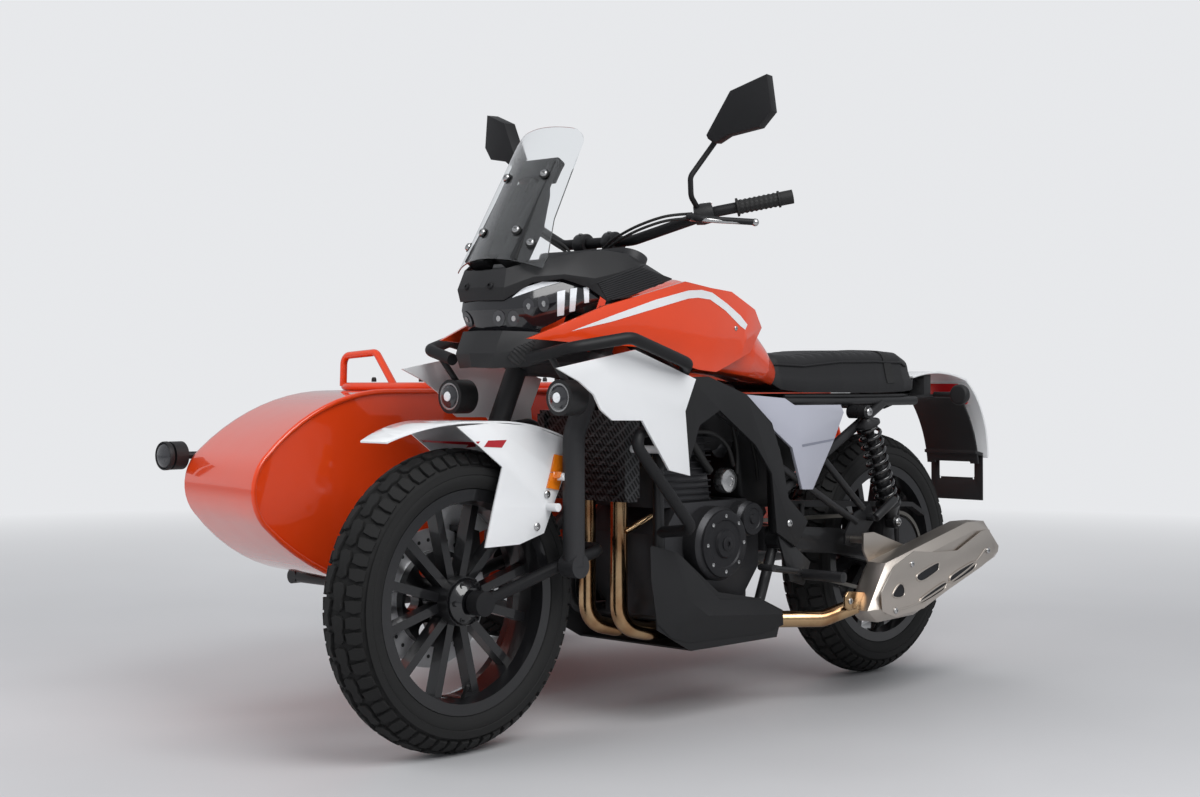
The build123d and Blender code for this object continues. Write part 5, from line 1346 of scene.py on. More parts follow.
@dataclass
class Softened:
    """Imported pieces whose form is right, shown with rounded edges."""

    # Node, finish and width of the rounding
    rows: tuple = (
        ("fuel_tank", ORANGE_PAINT, 0.008), ("tank_panels", ORANGE_PAINT, 0.003),
        ("front_shrouds", WHITE_SHELL, 0.0025), ("side_panels", LILAC_PANEL, 0.0025),
        ("frame_covers", DARK_COVER, 0.0035), ("belly_guard", DARK_COVER, 0.002),
        ("engine", ENGINE_METAL, 0.004), ("engine_covers", ENGINE_METAL, 0.005),
        ("silencer", CHAMPAGNE, 0.004), ("rear_fender", WHITE_SHELL, 0.0015),
        ("plate_bracket", BLACK_PLASTIC, 0.001), ("sidecar_fender", WHITE_SHELL, 0.002),
        ("front_fender", WHITE_SHELL, 0.0015), ("fork_crowns", LEG_PAINT, 0.003),
        ("mirrors", MATT_BLACK, 0.003), ("trunk_lid", ORANGE_PAINT, 0.002), ("swingarm", SATIN_FRAME, 0.0015),
        ("fog_lamps", BLACK_PLASTIC, 0.0015), ("rear_lamps", BLACK_PLASTIC, 0.0015),
        ("handlebar", MATT_BLACK, 0.001), ("foot_controls", SATIN_FRAME, 0.001),
        ("front_link", MATT_BLACK, 0.001),
    )
    pieces: dict = field(default_factory=dict)
    # Least area and backward facing of a mirror's glass
    glass_area: float = 0.0006
    glass_facing: float = 0.5
    # Distances from the middle: of the tail lens at most and of the indicators at least
    tail_half: float = 0.075
    indicator_from: float = 0.14
    indicator_facing: float = 0.7

    def build(self) -> dict[str, Piece]:
        """Make the pieces and return them by the name of their node."""
        for node, finish, edge in self.rows:
            piece = copy_of(node, node + "_soft", edge)
            self.pieces[node] = commit(piece, finish, Body(BODY_OF[node]), [node])
        self.light_up(self.pieces["rear_lamps"])
        mirrors = self.pieces["mirrors"]
        mirrors.data.materials.append(CHROME.material())
        for face in mirrors.data.polygons:
            if face.normal.y > self.glass_facing and face.area > self.glass_area:
                face.material_index = 1
        return self.pieces

    def light_up(self, piece: Piece) -> None:
        """Red tail lens and amber faces of the indicators."""
        piece.data.materials.append(RED_LENS.material())
        piece.data.materials.append(AMBER_LENS.material())
        for face in piece.data.polygons:
            across = abs(face.center.x - REAR_AXLE.x)
            if across < self.tail_half:
                face.material_index = 1
            elif across > self.indicator_from and face.normal.y > self.indicator_facing:
                face.material_index = 2


# Longest edge of a mark, so that it follows a curved panel
MARK_STEP = 0.012


def mark(name: str, targets: Sequence[Piece], x: float, outline: Sequence[Point], finish: Finish,
         body: Body = Body.CHASSIS, lift: float = 0.0006, thick: float = 0.0) -> None:
    """Mark laid on the left side of pieces and mirrored to the right.

    Args:
        name: name of the mark.
        targets: pieces that it lies on.
        x: distance from the middle at which the outline is given.
        outline: places from the rear axle and the floor.
        finish: its finish.
        body: body that it rides on.
        lift: distance off the surface.
        thick: its own thickness, for a plate.
    """
    trees = []
    for target in targets:
        work = bmesh.new()
        work.from_mesh(target.data)
        trees.append(BVHTree.FromBMesh(work))
        work.free()
    work = bmesh.new()
    work.faces.new([work.verts.new(place(x, y, z)) for y, z in outline])
    bmesh.ops.triangulate(work, faces=work.faces)
    for _ in range(5):
        long_edges = [edge for edge in work.edges if edge.calc_length() > MARK_STEP]
        if not long_edges:
            break
        bmesh.ops.subdivide_edges(work, edges=long_edges, cuts=1)
        bmesh.ops.triangulate(work, faces=work.faces)
    lost = []
    for vert in work.verts:
        ray = (vert.co - EYE).normalized()
        hits = [tree.ray_cast(EYE, ray) for tree in trees]
        reached = [hit for hit in hits if hit[0] is not None]
        if reached:
            near = min(reached, key=lambda hit: hit[3])
            vert.co = near[0] + near[1] * lift * (1 if near[1].dot(ray) < 0 else -1)
        else:
            lost.append(vert)
    bmesh.ops.delete(work, geom=lost, context="VERTS")
    bmesh.ops.recalc_face_normals(work, faces=work.faces)
    if work.faces and sum(face.normal.x * face.calc_area() for face in work.faces) < 0:
        bmesh.ops.reverse_faces(work, faces=work.faces)
    mesh = bpy.data.meshes.new(name)
    work.to_mesh(mesh)
    work.free()
    piece = smooth(linked(name, mesh), 60.0)
    if thick:
        piece = thickened(piece, thick, 0.0, 1.0)
    commit(mirrored(piece, name + "_right"), finish, body)
    commit(piece, finish, body)


@dataclass
class Nose:
    """Cowl that carries the screen, lamp glass under it and the beak, as thin mouldings."""

    # Columns from the middle to the rear: lower edge, crease and upper edge
    cowl: tuple = (
        ((0.0, -1.407, 0.950), (0.0, -1.412, 0.978), (0.0, -1.400, 1.014)),
        ((0.068, -1.396, 0.949), (0.074, -1.399, 0.976), (0.066, -1.385, 1.018)),
        ((0.106, -1.348, 0.986), (0.111, -1.350, 0.999), (0.098, -1.338, 1.034)),
        ((0.145, -1.296, 0.995), (0.151, -1.297, 1.005), (0.122, -1.280, 1.046)),
        ((0.163, -1.236, 0.978), (0.176, -1.229, 0.998), (0.134, -1.215, 1.058)),
        ((0.174, -1.192, 0.951), (0.183, -1.165, 1.013), (0.138, -1.165, 1.063)),
        ((0.177, -1.130, 0.960), (0.187, -1.105, 1.029), (0.152, -1.105, 1.058)),
        ((0.180, -1.062, 0.982), (0.185, -1.045, 1.017), (0.156, -1.045, 1.036)),
        ((0.178, -0.988, 1.004), (0.179, -0.986, 1.007), (0.160, -0.988, 1.012)),
    )
    glass: tuple = (
        ((0.0, -1.390, 0.882), (0.0, -1.4045, 0.930), (0.0, -1.400, 0.975)),
        ((0.060, -1.376, 0.880), (0.067, -1.393, 0.930), (0.064, -1.388, 0.975)),
        ((0.090, -1.335, 0.881), (0.104, -1.342, 0.935), (0.101, -1.338, 0.994)),
        ((0.118, -1.290, 0.905), (0.139, -1.292, 0.950), (0.136, -1.288, 1.001)),
        ((0.140, -1.250, 0.930), (0.155, -1.244, 0.955), (0.153, -1.242, 0.990)),
        ((0.160, -1.205, 0.950), (0.163, -1.203, 0.956), (0.162, -1.201, 0.965)),
    )
    beak: tuple = (
        ((0.0, -1.424, 0.808), (0.0, -1.431, 0.838), (0.0, -1.404, 0.887)),
        ((0.052, -1.412, 0.806), (0.060, -1.416, 0.838), (0.062, -1.393, 0.886)),
        ((0.098, -1.354, 0.809), (0.110, -1.353, 0.848), (0.102, -1.345, 0.884)),
        ((0.118, -1.318, 0.821), (0.130, -1.312, 0.853), (0.126, -1.302, 0.879)),
        ((0.130, -1.288, 0.852), (0.137, -1.276, 0.866), (0.136, -1.266, 0.877)),
    )
    wall: float = 0.004
    deck_columns: int = 5
    deck_drop: float = 0.012
    stay: tuple = ((-1.118, 0.925), (-1.132, 0.958), (-1.262, 0.985), (-1.250, 0.950))
    stay_half_width: float = 0.042

    def shell(self, name: str, columns: Sequence[Sequence[Point]]) -> Piece:
        """Moulding through columns of the left side and their mirror images.

        Args:
            name: name of the piece.
            columns: columns from the middle to the rear.

        Returns:
            The piece, with its wall inwards.
        """
        right = [[place(-x, y, z) for x, y, z in column] for column in reversed(columns[1:])]
        left = [[place(*spot) for spot in column] for column in columns]
        piece = skin(name, right + left, False, False)
        middle = place(0.0, columns[-1][0][1], columns[0][1][2])
        facing = sum((face.center - middle).dot(face.normal) * face.area for face in piece.data.polygons)
        if facing < 0:
            piece.data.flip_normals()
        return smooth(thickened(piece, self.wall, 0.001, -1.0), 22.0)

    def build(self) -> dict[str, Piece]:
        """Build the mouldings and return those that carry marks by the names of their places."""
        cowl, glass = self.shell("nose_cowl", self.cowl), self.shell("lamp_glass", self.glass)
        commit(cowl, BLACK_PLASTIC, replaced=["fairing"])
        commit(glass, DARK_LENS, replaced=["headlamp"])
        beak = commit(self.shell("nose_beak", self.beak), BLACK_PLASTIC)
        rows = []
        for column in self.cowl[:self.deck_columns]:
            half, y, z = column[2][0] - self.wall, column[2][1] + self.wall, column[2][2] - self.deck_drop
            rows.append([place(share * half, y, z) for share in (-1, 0, 1)])
        deck = thickened(skin("nose_deck", rows, False, False), self.wall, 0.0, 0.0)
        commit(deck, BLACK_PLASTIC)
        stay = slab("lamp_stay", self.stay, -self.stay_half_width, self.stay_half_width, 0.004)
        commit(stay, SATIN_FRAME)
        return {"fairing": cowl, "headlamp": glass, "beak": beak}


@dataclass
class Graphics:
    """Stripes, reflectors, ribs and screws on the outer panels."""

    shown: dict

    stripe: tuple = ((-1.311, 0.884), (-1.186, 0.920), (-1.048, 0.958), (-0.939, 0.982), (-0.895, 0.985),
                     (-0.857, 0.980), (-0.803, 0.956), (-0.756, 0.930), (-0.731, 0.910), (-0.739, 0.898),
                     (-0.756, 0.906), (-0.811, 0.941), (-0.864, 0.964), (-0.906, 0.967), (-0.939, 0.964),
                     (-1.048, 0.939), (-1.186, 0.907))
    flashes: tuple = (((-1.463, 0.643), (-1.451, 0.656), (-1.398, 0.656), (-1.412, 0.640)),
                      ((-1.513, 0.643), (-1.499, 0.654), (-1.473, 0.655), (-1.486, 0.644)))
    amber: tuple = (((-1.279, 0.623), (-1.246, 0.617), (-1.254, 0.584), (-1.290, 0.586)),
                    ((-1.291, 0.584), (-1.254, 0.582), (-1.268, 0.546), (-1.302, 0.552)))
    led_bars: tuple = (((-1.229, 0.973), (-1.205, 0.978), (-1.209, 0.924), (-1.229, 0.921)),
                       ((-1.189, 0.981), (-1.168, 0.984), (-1.175, 0.934), (-1.192, 0.931)),
                       ((-1.148, 0.985), (-1.131, 0.988), (-1.131, 0.954), (-1.145, 0.952)))
    eyebrow: tuple = ((-1.402, 0.953), (-1.369, 0.975), (-1.314, 0.990), (-1.259, 0.991), (-1.314, 0.978))
    projectors: tuple = ((-1.419, 0.911), (-1.379, 0.912), (-1.335, 0.938), (-1.290, 0.945))
    beak_pad: tuple = ((-1.415, 0.827), (-1.395, 0.849), (-1.330, 0.868), (-1.353, 0.825), (-1.395, 0.807))
    rib_top: tuple = ((-1.197, 0.992), (-1.052, 1.036))
    rib_foot: tuple = ((-1.163, 0.951), (-0.975, 0.996))
    ribs: int = 11
    side_crease: tuple = ((-0.543, 0.627), (-0.374, 0.642), (-0.374, 0.637), (-0.541, 0.621))
    lens_lift: float = 0.0005
    # Screws: name, piece, distance from the middle, spots, radius and finish
    screws: tuple = (
        ("cowl_bolt", "fairing", 0.07, ((-1.436, 0.978),), 0.008, MATT_BLACK),
        ("fender_bolt", "front_fender", 0.10, ((-1.300, 0.538), (-1.330, 0.471)), 0.0085, STEEL),
        ("tank_bolt", "tank_panels", 0.18, ((-0.767, 0.901),), 0.0055, STEEL),
        ("side_panel_bolt", "side_panels", 0.20, ((-0.479, 0.540),), 0.008, STEEL),
        ("belly_bolt", "belly_guard", 0.185, ((-0.928, 0.337), (-0.639, 0.215)), 0.008, STEEL),
        ("link_bolt", "front_link", 0.10, ((-1.450, 0.347), (-1.420, 0.372)), 0.009, STEEL),
        ("cover_bolt", "frame_covers", 0.19, ((-0.579, 0.440), (-0.520, 0.470), (-0.560, 0.500)),
        0.009, STEEL),
    )

    def build(self) -> None:
        """Lay every mark on the piece that carries it."""
        tank = [self.shown["tank_panels"], self.shown["fuel_tank"]]
        fender, lamp = [self.shown["front_fender"]], [self.shown["headlamp"]]
        mark("tank_stripe", tank, 0.185, self.stripe, WHITE_SHELL)
        for index, outline in enumerate(self.flashes):
            mark(f"fender_flash_{index}", fender, 0.08, outline, RED_MARK, Body.STEERING)
        # The reflectors glow in the amber lens finish: a painted glint, as they are no lamps
        for index, outline in enumerate(self.amber):
            mark(f"fender_reflector_{index}", fender, 0.10, outline, AMBER_LENS, Body.STEERING,
                 self.lens_lift, 0.004)
        for index, outline in enumerate(self.led_bars):
            mark(f"lamp_bar_{index}", lamp, 0.06, outline, LED, lift=self.lens_lift,
                 thick=0.0015)
        mark("lamp_eyebrow", lamp, 0.10, self.eyebrow, LED, lift=self.lens_lift, thick=0.0015)
        for index, (y, z) in enumerate(self.projectors):
            for radius, finish, lift in ((0.017, SMOKED_LENS, self.lens_lift), (0.006, STEEL, 0.0024)):
                angles = [step * pi / 8 for step in range(16)]
                disc = [(y + radius * cos(angle), z + radius * sin(angle)) for angle in angles]
                mark(f"lamp_projector_{index}_{finish.name}", lamp, 0.08, disc, finish,
                     lift=lift, thick=0.0012)
        mark("beak_pad", [self.shown["beak"]], 0.10, self.beak_pad, PAD_RIBS, lift=0.0,
             thick=0.002)
        # The ribs take the lighter leg paint, a painted highlight for their lit edges
        for index in range(self.ribs):
            outline = []
            for share, line in ((index, (0, 1)), (index + 0.5, (1, 0))):
                for end in line:
                    top, foot = Vector(self.rib_top[end]), Vector(self.rib_foot[end])
                    outline.append(top.lerp(foot, share / self.ribs))
            mark(f"cowl_rib_{index}", [self.shown["fairing"]], 0.15, outline, LEG_PAINT,
                 lift=0.0, thick=0.002)
        panels = [self.shown["side_panels"]]
        # The crease is a darker lilac band: painted shade
        mark("side_panel_crease", panels, 0.20, self.side_crease, LILAC_CREASE_SHADE)
        for row in self.screws:
            self.fasten(*row)

    def fasten(self, name: str, node: str, x: float, spots: Sequence[Point], radius: float,
               finish: Finish) -> None:
        """Screws on a piece and their mirror images, seated where the camera's ray meets it.

        Args:
            name: start of the pieces' names.
            node: name of the piece that they sit on.
            x: distance from the middle at which the spots are given.
            spots: distances from the rear axle and heights.
            radius: radius of their heads.
            finish: finish of the screws.
        """
        body = Body(BODY_OF[node])
        for index, (y, z) in enumerate(spots):
            ray = (place(x, y, z) - EYE).normalized()
            hit, spot, normal, _ = self.shown[node].ray_cast(EYE, ray)
            if not hit:
                continue
            if normal.dot(ray) > 0:
                normal = -normal
            twin = Vector((2 * REAR_AXLE.x - spot.x, spot.y, spot.z))
            facings = [normal, Vector((-normal.x, normal.y, normal.z))]
            bolts(f"{name}_{index}", [spot, twin], facings, radius, finish, body=body)


@dataclass
class Saddle:
    """Rider's seat with crosswise pleats, a strap and piping along its upper edge."""

    # Along the seat: distance behind the rear axle, height of the top, half width and height of the base
    stations: tuple = ((-0.556, 0.852, 0.060, 0.800), (-0.535, 0.851, 0.085, 0.775),
                       (-0.500, 0.849, 0.103, 0.752), (-0.415, 0.846, 0.116, 0.744),
                       (-0.275, 0.857, 0.124, 0.743), (-0.120, 0.859, 0.124, 0.743),
                       (0.000, 0.857, 0.119, 0.745), (0.050, 0.842, 0.108, 0.748),
                       (0.076, 0.805, 0.096, 0.752), (0.081, 0.775, 0.090, 0.756))
    pleats: tuple = (-0.462, -0.085)
    pleat_count: int = 11
    pleat_depth: float = 0.0055
    shoulder: float = 0.030
    top_share: float = 0.90
    crown: float = 0.0024
    rows: int = 180
    piping: tuple = (-0.53, 0.03)
    piping_radius: float = 0.0028
    strap: tuple = (-0.082, -0.046)
    base_route: tuple = ((0.112, -0.50), (0.118, -0.28), (0.116, 0.0), (0.08, 0.07), (0.0, 0.08),
                         (-0.08, 0.07), (-0.116, 0.0), (-0.118, -0.28), (-0.112, -0.50))
    base_height: float = 0.741

    def at(self, y: float) -> tuple[float, float, float]:
        """Top, half width and base at a distance along the seat."""
        line = self.stations
        for first, second in zip(line, line[1:]):
            if y <= second[0]:
                share = (y - first[0]) / (second[0] - first[0])
                return tuple(a + (b - a) * share for a, b in zip(first[1:], second[1:]))
        return line[-1][1:]

    def ring(self, y: float) -> list[Vector]:
        """Closed section: flat base, leaning sides, round shoulders and a slightly crowned top."""
        top, half, base = self.at(y)
        inner = half * self.top_share
        start, end = self.pleats
        groove = 0.0
        if start < y < end:
            phase = (y - start) / (end - start) * self.pleat_count % 1.0
            groove = self.pleat_depth * (1 - min(1.0, 2.6 * min(phase, 1 - phase))) ** 1.5
        low, high = base + 0.03, top - self.shoulder
        points = [(half, base + 0.006), (half + 0.002, low)]
        for step in range(1, 4):
            points.append((inner + (half - inner) * (1 - step / 4), low + (high - low) * step / 4))
        radius = self.shoulder
        for step in range(7):
            turn = pi / 2 * step / 6
            rise = radius * sin(turn) * 0.92 - groove * (step / 6) ** 2
            points.append((inner - radius + radius * cos(turn), high + rise))
        for step in range(1, 7):
            x = (inner - radius) * (1 - step / 6)
            points.append((x, top - self.crown + self.crown * (1 - (x / inner) ** 2) - groove))
        return [place(x, y, z) for x, z in points + [(-x, z) for x, z in reversed(points[:-1])]]

    def build(self) -> None:
        """Padded body, piping, the strap over its rear and the rail under its edge."""
        first, last = self.stations[0][0], self.stations[-1][0]
        rings = [self.ring(first + (last - first) * step / self.rows) for step in range(self.rows + 1)]
        piece = commit(smooth(skin("saddle", rings), 70.0), VINYL, replaced=["seat"])
        start, end = self.piping
        for side, tag in SIDES.items():
            line = []
            for step in range(60):
                y = start + (end - start) * step / 59
                top, half, _ = self.at(y)
                line.append(place(side * (half * self.top_share + 0.0022), y, top - self.shoulder))
            commit(pipe(f"saddle_piping_{tag}", line, self.piping_radius, 8), VINYL)
        strap = []
        for y in self.strap:
            ring = self.ring(y)
            middle = sum(ring, Vector()) / len(ring)
            strap.append([point + (point - middle).normalized() * 0.0014 for point in ring[1:-1]])
        band = thickened(skin("saddle_strap", strap, closed=False, caps=False), 0.002, 0.0, 0.0)
        commit(band, RUBBER)
        rail = pipe("saddle_base", [place(x, y, self.base_height) for x, y in self.base_route], 0.0045, 8)
        commit(rail, BLACK_PLASTIC)


@dataclass
class RearShock:
    """Coil spring over its damper, on one side."""

    side: int
    top: tuple = (0.156, -0.228, 0.700)
    foot: tuple = (0.156, -0.100, 0.415)
    coil: float = 0.0265
    wire: float = 0.0050
    turns: int = 9
    # Distances of the coil's ends from the upper and the lower eye
    coil_start: float = 0.040
    coil_end: float = 0.062
    eye: tuple = ((-0.014, 0.008), (-0.014, 0.015), (-0.012, 0.017), (0.012, 0.017), (0.014, 0.015),
                  (0.014, 0.008))

    def build(self) -> None:
        """Damper with its eyes, collars and the coil."""
        top, foot = beside(self.side, self.top), beside(self.side, self.foot)
        axis = (foot - top).normalized()
        length = (foot - top).length
        first, second = turned_frame(axis)
        tag = SIDES[self.side]
        profile = [(0.012, 0.010), (0.022, 0.016), (0.030, 0.033), (0.036, 0.033), (0.038, 0.012),
                   (length * 0.52, 0.012), (length * 0.53, 0.019), (length - 0.060, 0.019),
                   (length - 0.058, 0.033),
                   (length - 0.048, 0.033), (length - 0.030, 0.020), (length - 0.012, 0.012)]
        damper = lathe(f"damper_{tag}", top, axis, profile, 28)
        commit(damper, SATIN_FRAME, replaced=["rear_shocks"])
        steps = self.turns * 22
        path = []
        for step in range(steps + 1):
            share = step / steps
            angle = tau * self.turns * share
            path.append(top + axis * (self.coil_start + (length - self.coil_end - self.coil_start) * share)
                        + self.coil * (first * cos(angle) + second * sin(angle)))
        commit(pipe(f"coil_{tag}", path, self.wire, 10), GLOSS_BLACK)
        for index, spot in enumerate((top, foot)):
            eye = lathe(f"shock_eye_{tag}_{index}", spot, (1, 0, 0), self.eye, 24)
            commit(eye, SATIN_FRAME)
        out = Vector((self.side * self.eye[-1][0], 0, 0))
        bolts(f"shock_nuts_{tag}", [top + out, foot + out], (self.side, 0, 0), 0.011, STEEL)


@dataclass
class Grip:
    """Diamond-knurled rubber grip with a flange and a plain bar end."""

    side: int
    start: tuple = (0.285, -0.965, 1.150)
    end: tuple = (0.410, -0.850, 1.183)
    length: float = 0.125
    radius: float = 0.0165
    relief: float = 0.0020
    flange: float = 0.004
    plain_end: float = 0.030
    # Knurl: starts round the grip and its pitch along it
    starts: int = 10
    pitch: float = 0.0105
    collar: tuple = ((-0.003, 0.0165), (-0.003, 0.0185), (0.001, 0.0185), (0.001, 0.0160))

    def build(self) -> None:
        """Knurled grip and the collar at its plain end."""
        near, far = beside(self.side, self.start), beside(self.side, self.end)
        axis = (far - near).normalized()
        root = far - axis * self.length
        first, second = turned_frame(axis)
        tag = SIDES[self.side]
        rings = []
        rows, sides = 64, 36
        for row in range(rows + 1):
            along = self.length * row / rows
            knurled = 1.0 if 2 * self.flange < along < self.length - self.plain_end else 0.0
            ring = []
            for i in range(sides):
                angle = tau * i / sides
                spiral, twist = self.starts * angle / 2, tau * along / self.pitch / 2
                knurl = max(0.0, sin(spiral + twist) * sin(spiral - twist))
                reach = self.radius - self.relief + self.relief * (knurl * knurled + 0.5 * (1 - knurled))
                if along < self.flange:
                    reach = self.radius + self.flange
                ring.append(root + axis * along + reach * (first * cos(angle) + second * sin(angle)))
            rings.append(ring)
        grip = smooth(skin(f"grip_{tag}", rings), 60.0)
        commit(grip, RUBBER, Body.STEERING, ["grips"])
        collar = lathe(f"grip_collar_{tag}", far - axis * self.plain_end, axis, self.collar, 28)
        commit(collar, RUBBER, Body.STEERING)


@dataclass
class Controls:
    """Levers, switch boxes, clamps and cables on the handlebar."""

    lever_route: tuple = ((0.262, -0.975, 1.143), (0.272, -1.030, 1.133), (0.310, -1.046, 1.127),
                          (0.355, -1.008, 1.122), (0.398, -0.966, 1.120))
    lever_radii: tuple = (0.0068, 0.0048)
    lever_drop: float = 0.001
    ball: float = 0.0085
    switch_box: tuple = ((-0.022, 0.013), (-0.021, 0.021), (-0.004, 0.024), (0.018, 0.022), (0.020, 0.014))
    switch_spot: tuple = (0.268, -0.981, 1.1455)
    buttons: tuple = ((0.262, -0.972, 1.1690), (0.271, -0.964, 1.1690))
    # Cables of both ends of the bar, each with the rise of its points
    cables: tuple = (0.0, 0.010)
    cable_route: tuple = ((0.250, -1.000, 1.136), (0.200, -1.045, 1.128), (0.120, -1.072, 1.100),
                          (0.050, -1.078, 1.060))
    cable_end: tuple = (0.030, -1.080, 0.990)
    cable_radius: float = 0.0032
    clamp: tuple = ((-0.016, 0.012), (-0.016, 0.021), (-0.013, 0.023), (0.013, 0.023), (0.016, 0.021),
                    (0.016, 0.012))
    clamp_spot: tuple = (0.045, -1.040, 1.092)
    clamp_bolts: tuple = (-0.009, 0.009)
    clamp_bolt_height: float = 1.113

    def build(self) -> None:
        """Pieces of both ends of the bar, and the cables to the steering head."""
        for side, tag in SIDES.items():
            route = curve_through([beside(side, spot) for spot in self.lever_route], 8)
            thick, thin = self.lever_radii
            radii = [thick - (thick - thin) * step / len(route) for step in range(len(route))]
            line = [point - Vector((0, self.lever_drop, 0)) for point in route]
            commit(pipe(f"lever_{tag}", line, radii, 12), STEEL, Body.STEERING)
            angles = [pi * step / 8 for step in range(9)]
            profile = [(-self.ball * cos(angle), self.ball * sin(angle) + 0.0002) for angle in angles]
            ball = lathe(f"lever_ball_{tag}", route[-1], (0, 0, 1), profile, 16)
            commit(ball, STEEL, Body.STEERING)
            box = lathe(f"switch_box_{tag}", beside(side, self.switch_spot), (side * 0.70, 0.65, 0.2),
                        self.switch_box, 20)
            commit(box, BLACK_PLASTIC, Body.STEERING)
            bolts(f"switch_buttons_{tag}", [beside(side, spot) for spot in self.buttons], (0, 0.2, 1), 0.0042,
                  WHITE_SHELL, Body.STEERING, 0.003)
            for index, rise in enumerate(self.cables):
                route = [beside(side, (x, y, z + rise)) for x, y, z in self.cable_route]
                line = curve_through(route + [beside(side, self.cable_end)], 8)
                cable = pipe(f"cable_{tag}_{index}", line, self.cable_radius, 8)
                commit(cable, RUBBER, Body.STEERING)
        for side, tag in SIDES.items():
            clamp = lathe(f"bar_clamp_{tag}", beside(side, self.clamp_spot), (1, 0, 0), self.clamp, 28)
            commit(clamp, SATIN_FRAME, Body.STEERING)
            x, y, _ = self.clamp_spot
            spots = [beside(side, (x, y + step, self.clamp_bolt_height)) for step in self.clamp_bolts]
            bolts(f"clamp_bolts_{tag}", spots, (0, 0, 1), 0.005, STEEL, body=Body.STEERING)


@dataclass
class ScreenMount:
    """Bracket, display and bolts behind and on the windscreen."""

    foot: tuple = (-1.385, 1.0405)
    top: tuple = (-1.205, 1.338)
    half: float = 0.132
    sag: float = 0.046
    # Distances from the middle and shares of the pane's height, of the bright bolts
    bolt_places: tuple = ((0.052, 0.20), (-0.052, 0.20), (0.058, 0.62), (-0.058, 0.62), (0.096, 0.10),
                          (-0.096, 0.10))
    # Levels of an arm: share of the pane's height, half width and depth
    arm: tuple = ((0.0, 0.030, 0.034), (0.2, 0.022, 0.026), (0.45, 0.013, 0.020), (0.72, 0.012, 0.014),
                  (0.76, 0.006, 0.010))
    # Levels of the display's parts: rise, half width and the distances of front and rear behind the pane
    hood: tuple = ((0.00, 0.075, 0.020, 0.055), (0.09, 0.072, 0.024, 0.058), (0.17, 0.056, 0.026, 0.050),
                   (0.20, 0.046, 0.030, 0.044))
    case: tuple = ((0.205, 0.052, 0.020, 0.050), (0.260, 0.056, 0.024, 0.052))
    glass: tuple = ((0.209, 0.047, 0.050, 0.0545), (0.256, 0.047, 0.050, 0.0545))
    strut: tuple = (0.17, 0.215)
    strut_depth: float = 0.036
    display_foot: float = 0.06

    def on_pane(self, x: float, share: float, off: float = 0.0) -> Vector:
        """Place on the pane, off its front if off is positive."""
        y = self.foot[0] + (self.top[0] - self.foot[0]) * share + self.sag * (x / self.half) ** 2
        z = self.foot[1] + (self.top[1] - self.foot[1]) * share
        return place(x, y, z) + self.normal(x) * off

    @property
    def rise(self) -> Vector:
        """Direction up the pane."""
        return Vector((0, self.top[0] - self.foot[0], self.top[1] - self.foot[1])).normalized()

    def normal(self, x: float) -> Vector:
        """Direction out of the pane's front."""
        across = Vector((1, 2 * self.sag * x / self.half ** 2, 0)).normalized()
        out = across.cross(self.rise)
        return out if out.y < 0 else -out

    def behind(self, up: float, depth: float) -> Vector:
        """Place behind the pane's middle, so far up from the display's foot."""
        return self.on_pane(0, self.display_foot) + self.rise * up - self.normal(0.0) * depth

    def display(self, name: str, levels: Sequence[Point], edge: float, segments: int, finish: Finish) -> None:
        """Part of the display, through levels behind the pane.

        Args:
            name: name of the part.
            levels: rise, half width and the depths of front and rear, from below.
            edge: rounding of its edges.
            segments: faces of the rounding.
            finish: its finish.
        """
        rings = []
        for up, half, near, far in levels:
            across = Vector((half, 0, 0))
            front, rear = self.behind(up, near), self.behind(up, far)
            rings.append([front + across, rear + across, rear - across, front - across])
        commit(rounded(skin(name, rings), edge, segments), finish)

    def build(self) -> None:
        """Bolts with black washers, two arms, and the display with its hood, glass and strut."""
        facings = [self.normal(x) for x, _ in self.bolt_places]
        rows = (("screen_bolts", 0.0035, 0.0085, STEEL, "chain_steel", 0.006),
                ("screen_washers", 0.0018, 0.0115, RUBBER, "grip_rubber", 0.0016))
        for name, lift, radius, finish, slot, height in rows:
            spots = [self.on_pane(x, share, lift) for x, share in self.bolt_places]
            bolts(name, spots, facings, radius, finish, height=height)
        back = -self.normal(0.0)
        for side, tag in SIDES.items():
            rings = []
            for share, width, depth in self.arm:
                centre = self.on_pane(side * (0.052 + 0.008 * share), share, -0.006)
                rings.append([centre + Vector((width * a, 0, 0)) + back * depth * b
                              for a, b in ((1, 0), (1, 1), (-1, 1), (-1, 0))])
            commit(rounded(skin(f"screen_arm_{tag}", rings), 0.002), BLACK_PLASTIC)
        self.display("display_hood", self.hood, 0.005, 3, BLACK_PLASTIC)
        self.display("display_case", self.case, 0.006, 3, MATT_BLACK)
        self.display("display_glass", self.glass, 0.001, 2, DARK_LENS)
        strut = pipe("display_strut", [self.behind(up, self.strut_depth) for up in self.strut], 0.012, 16)
        commit(strut, BLACK_PLASTIC)


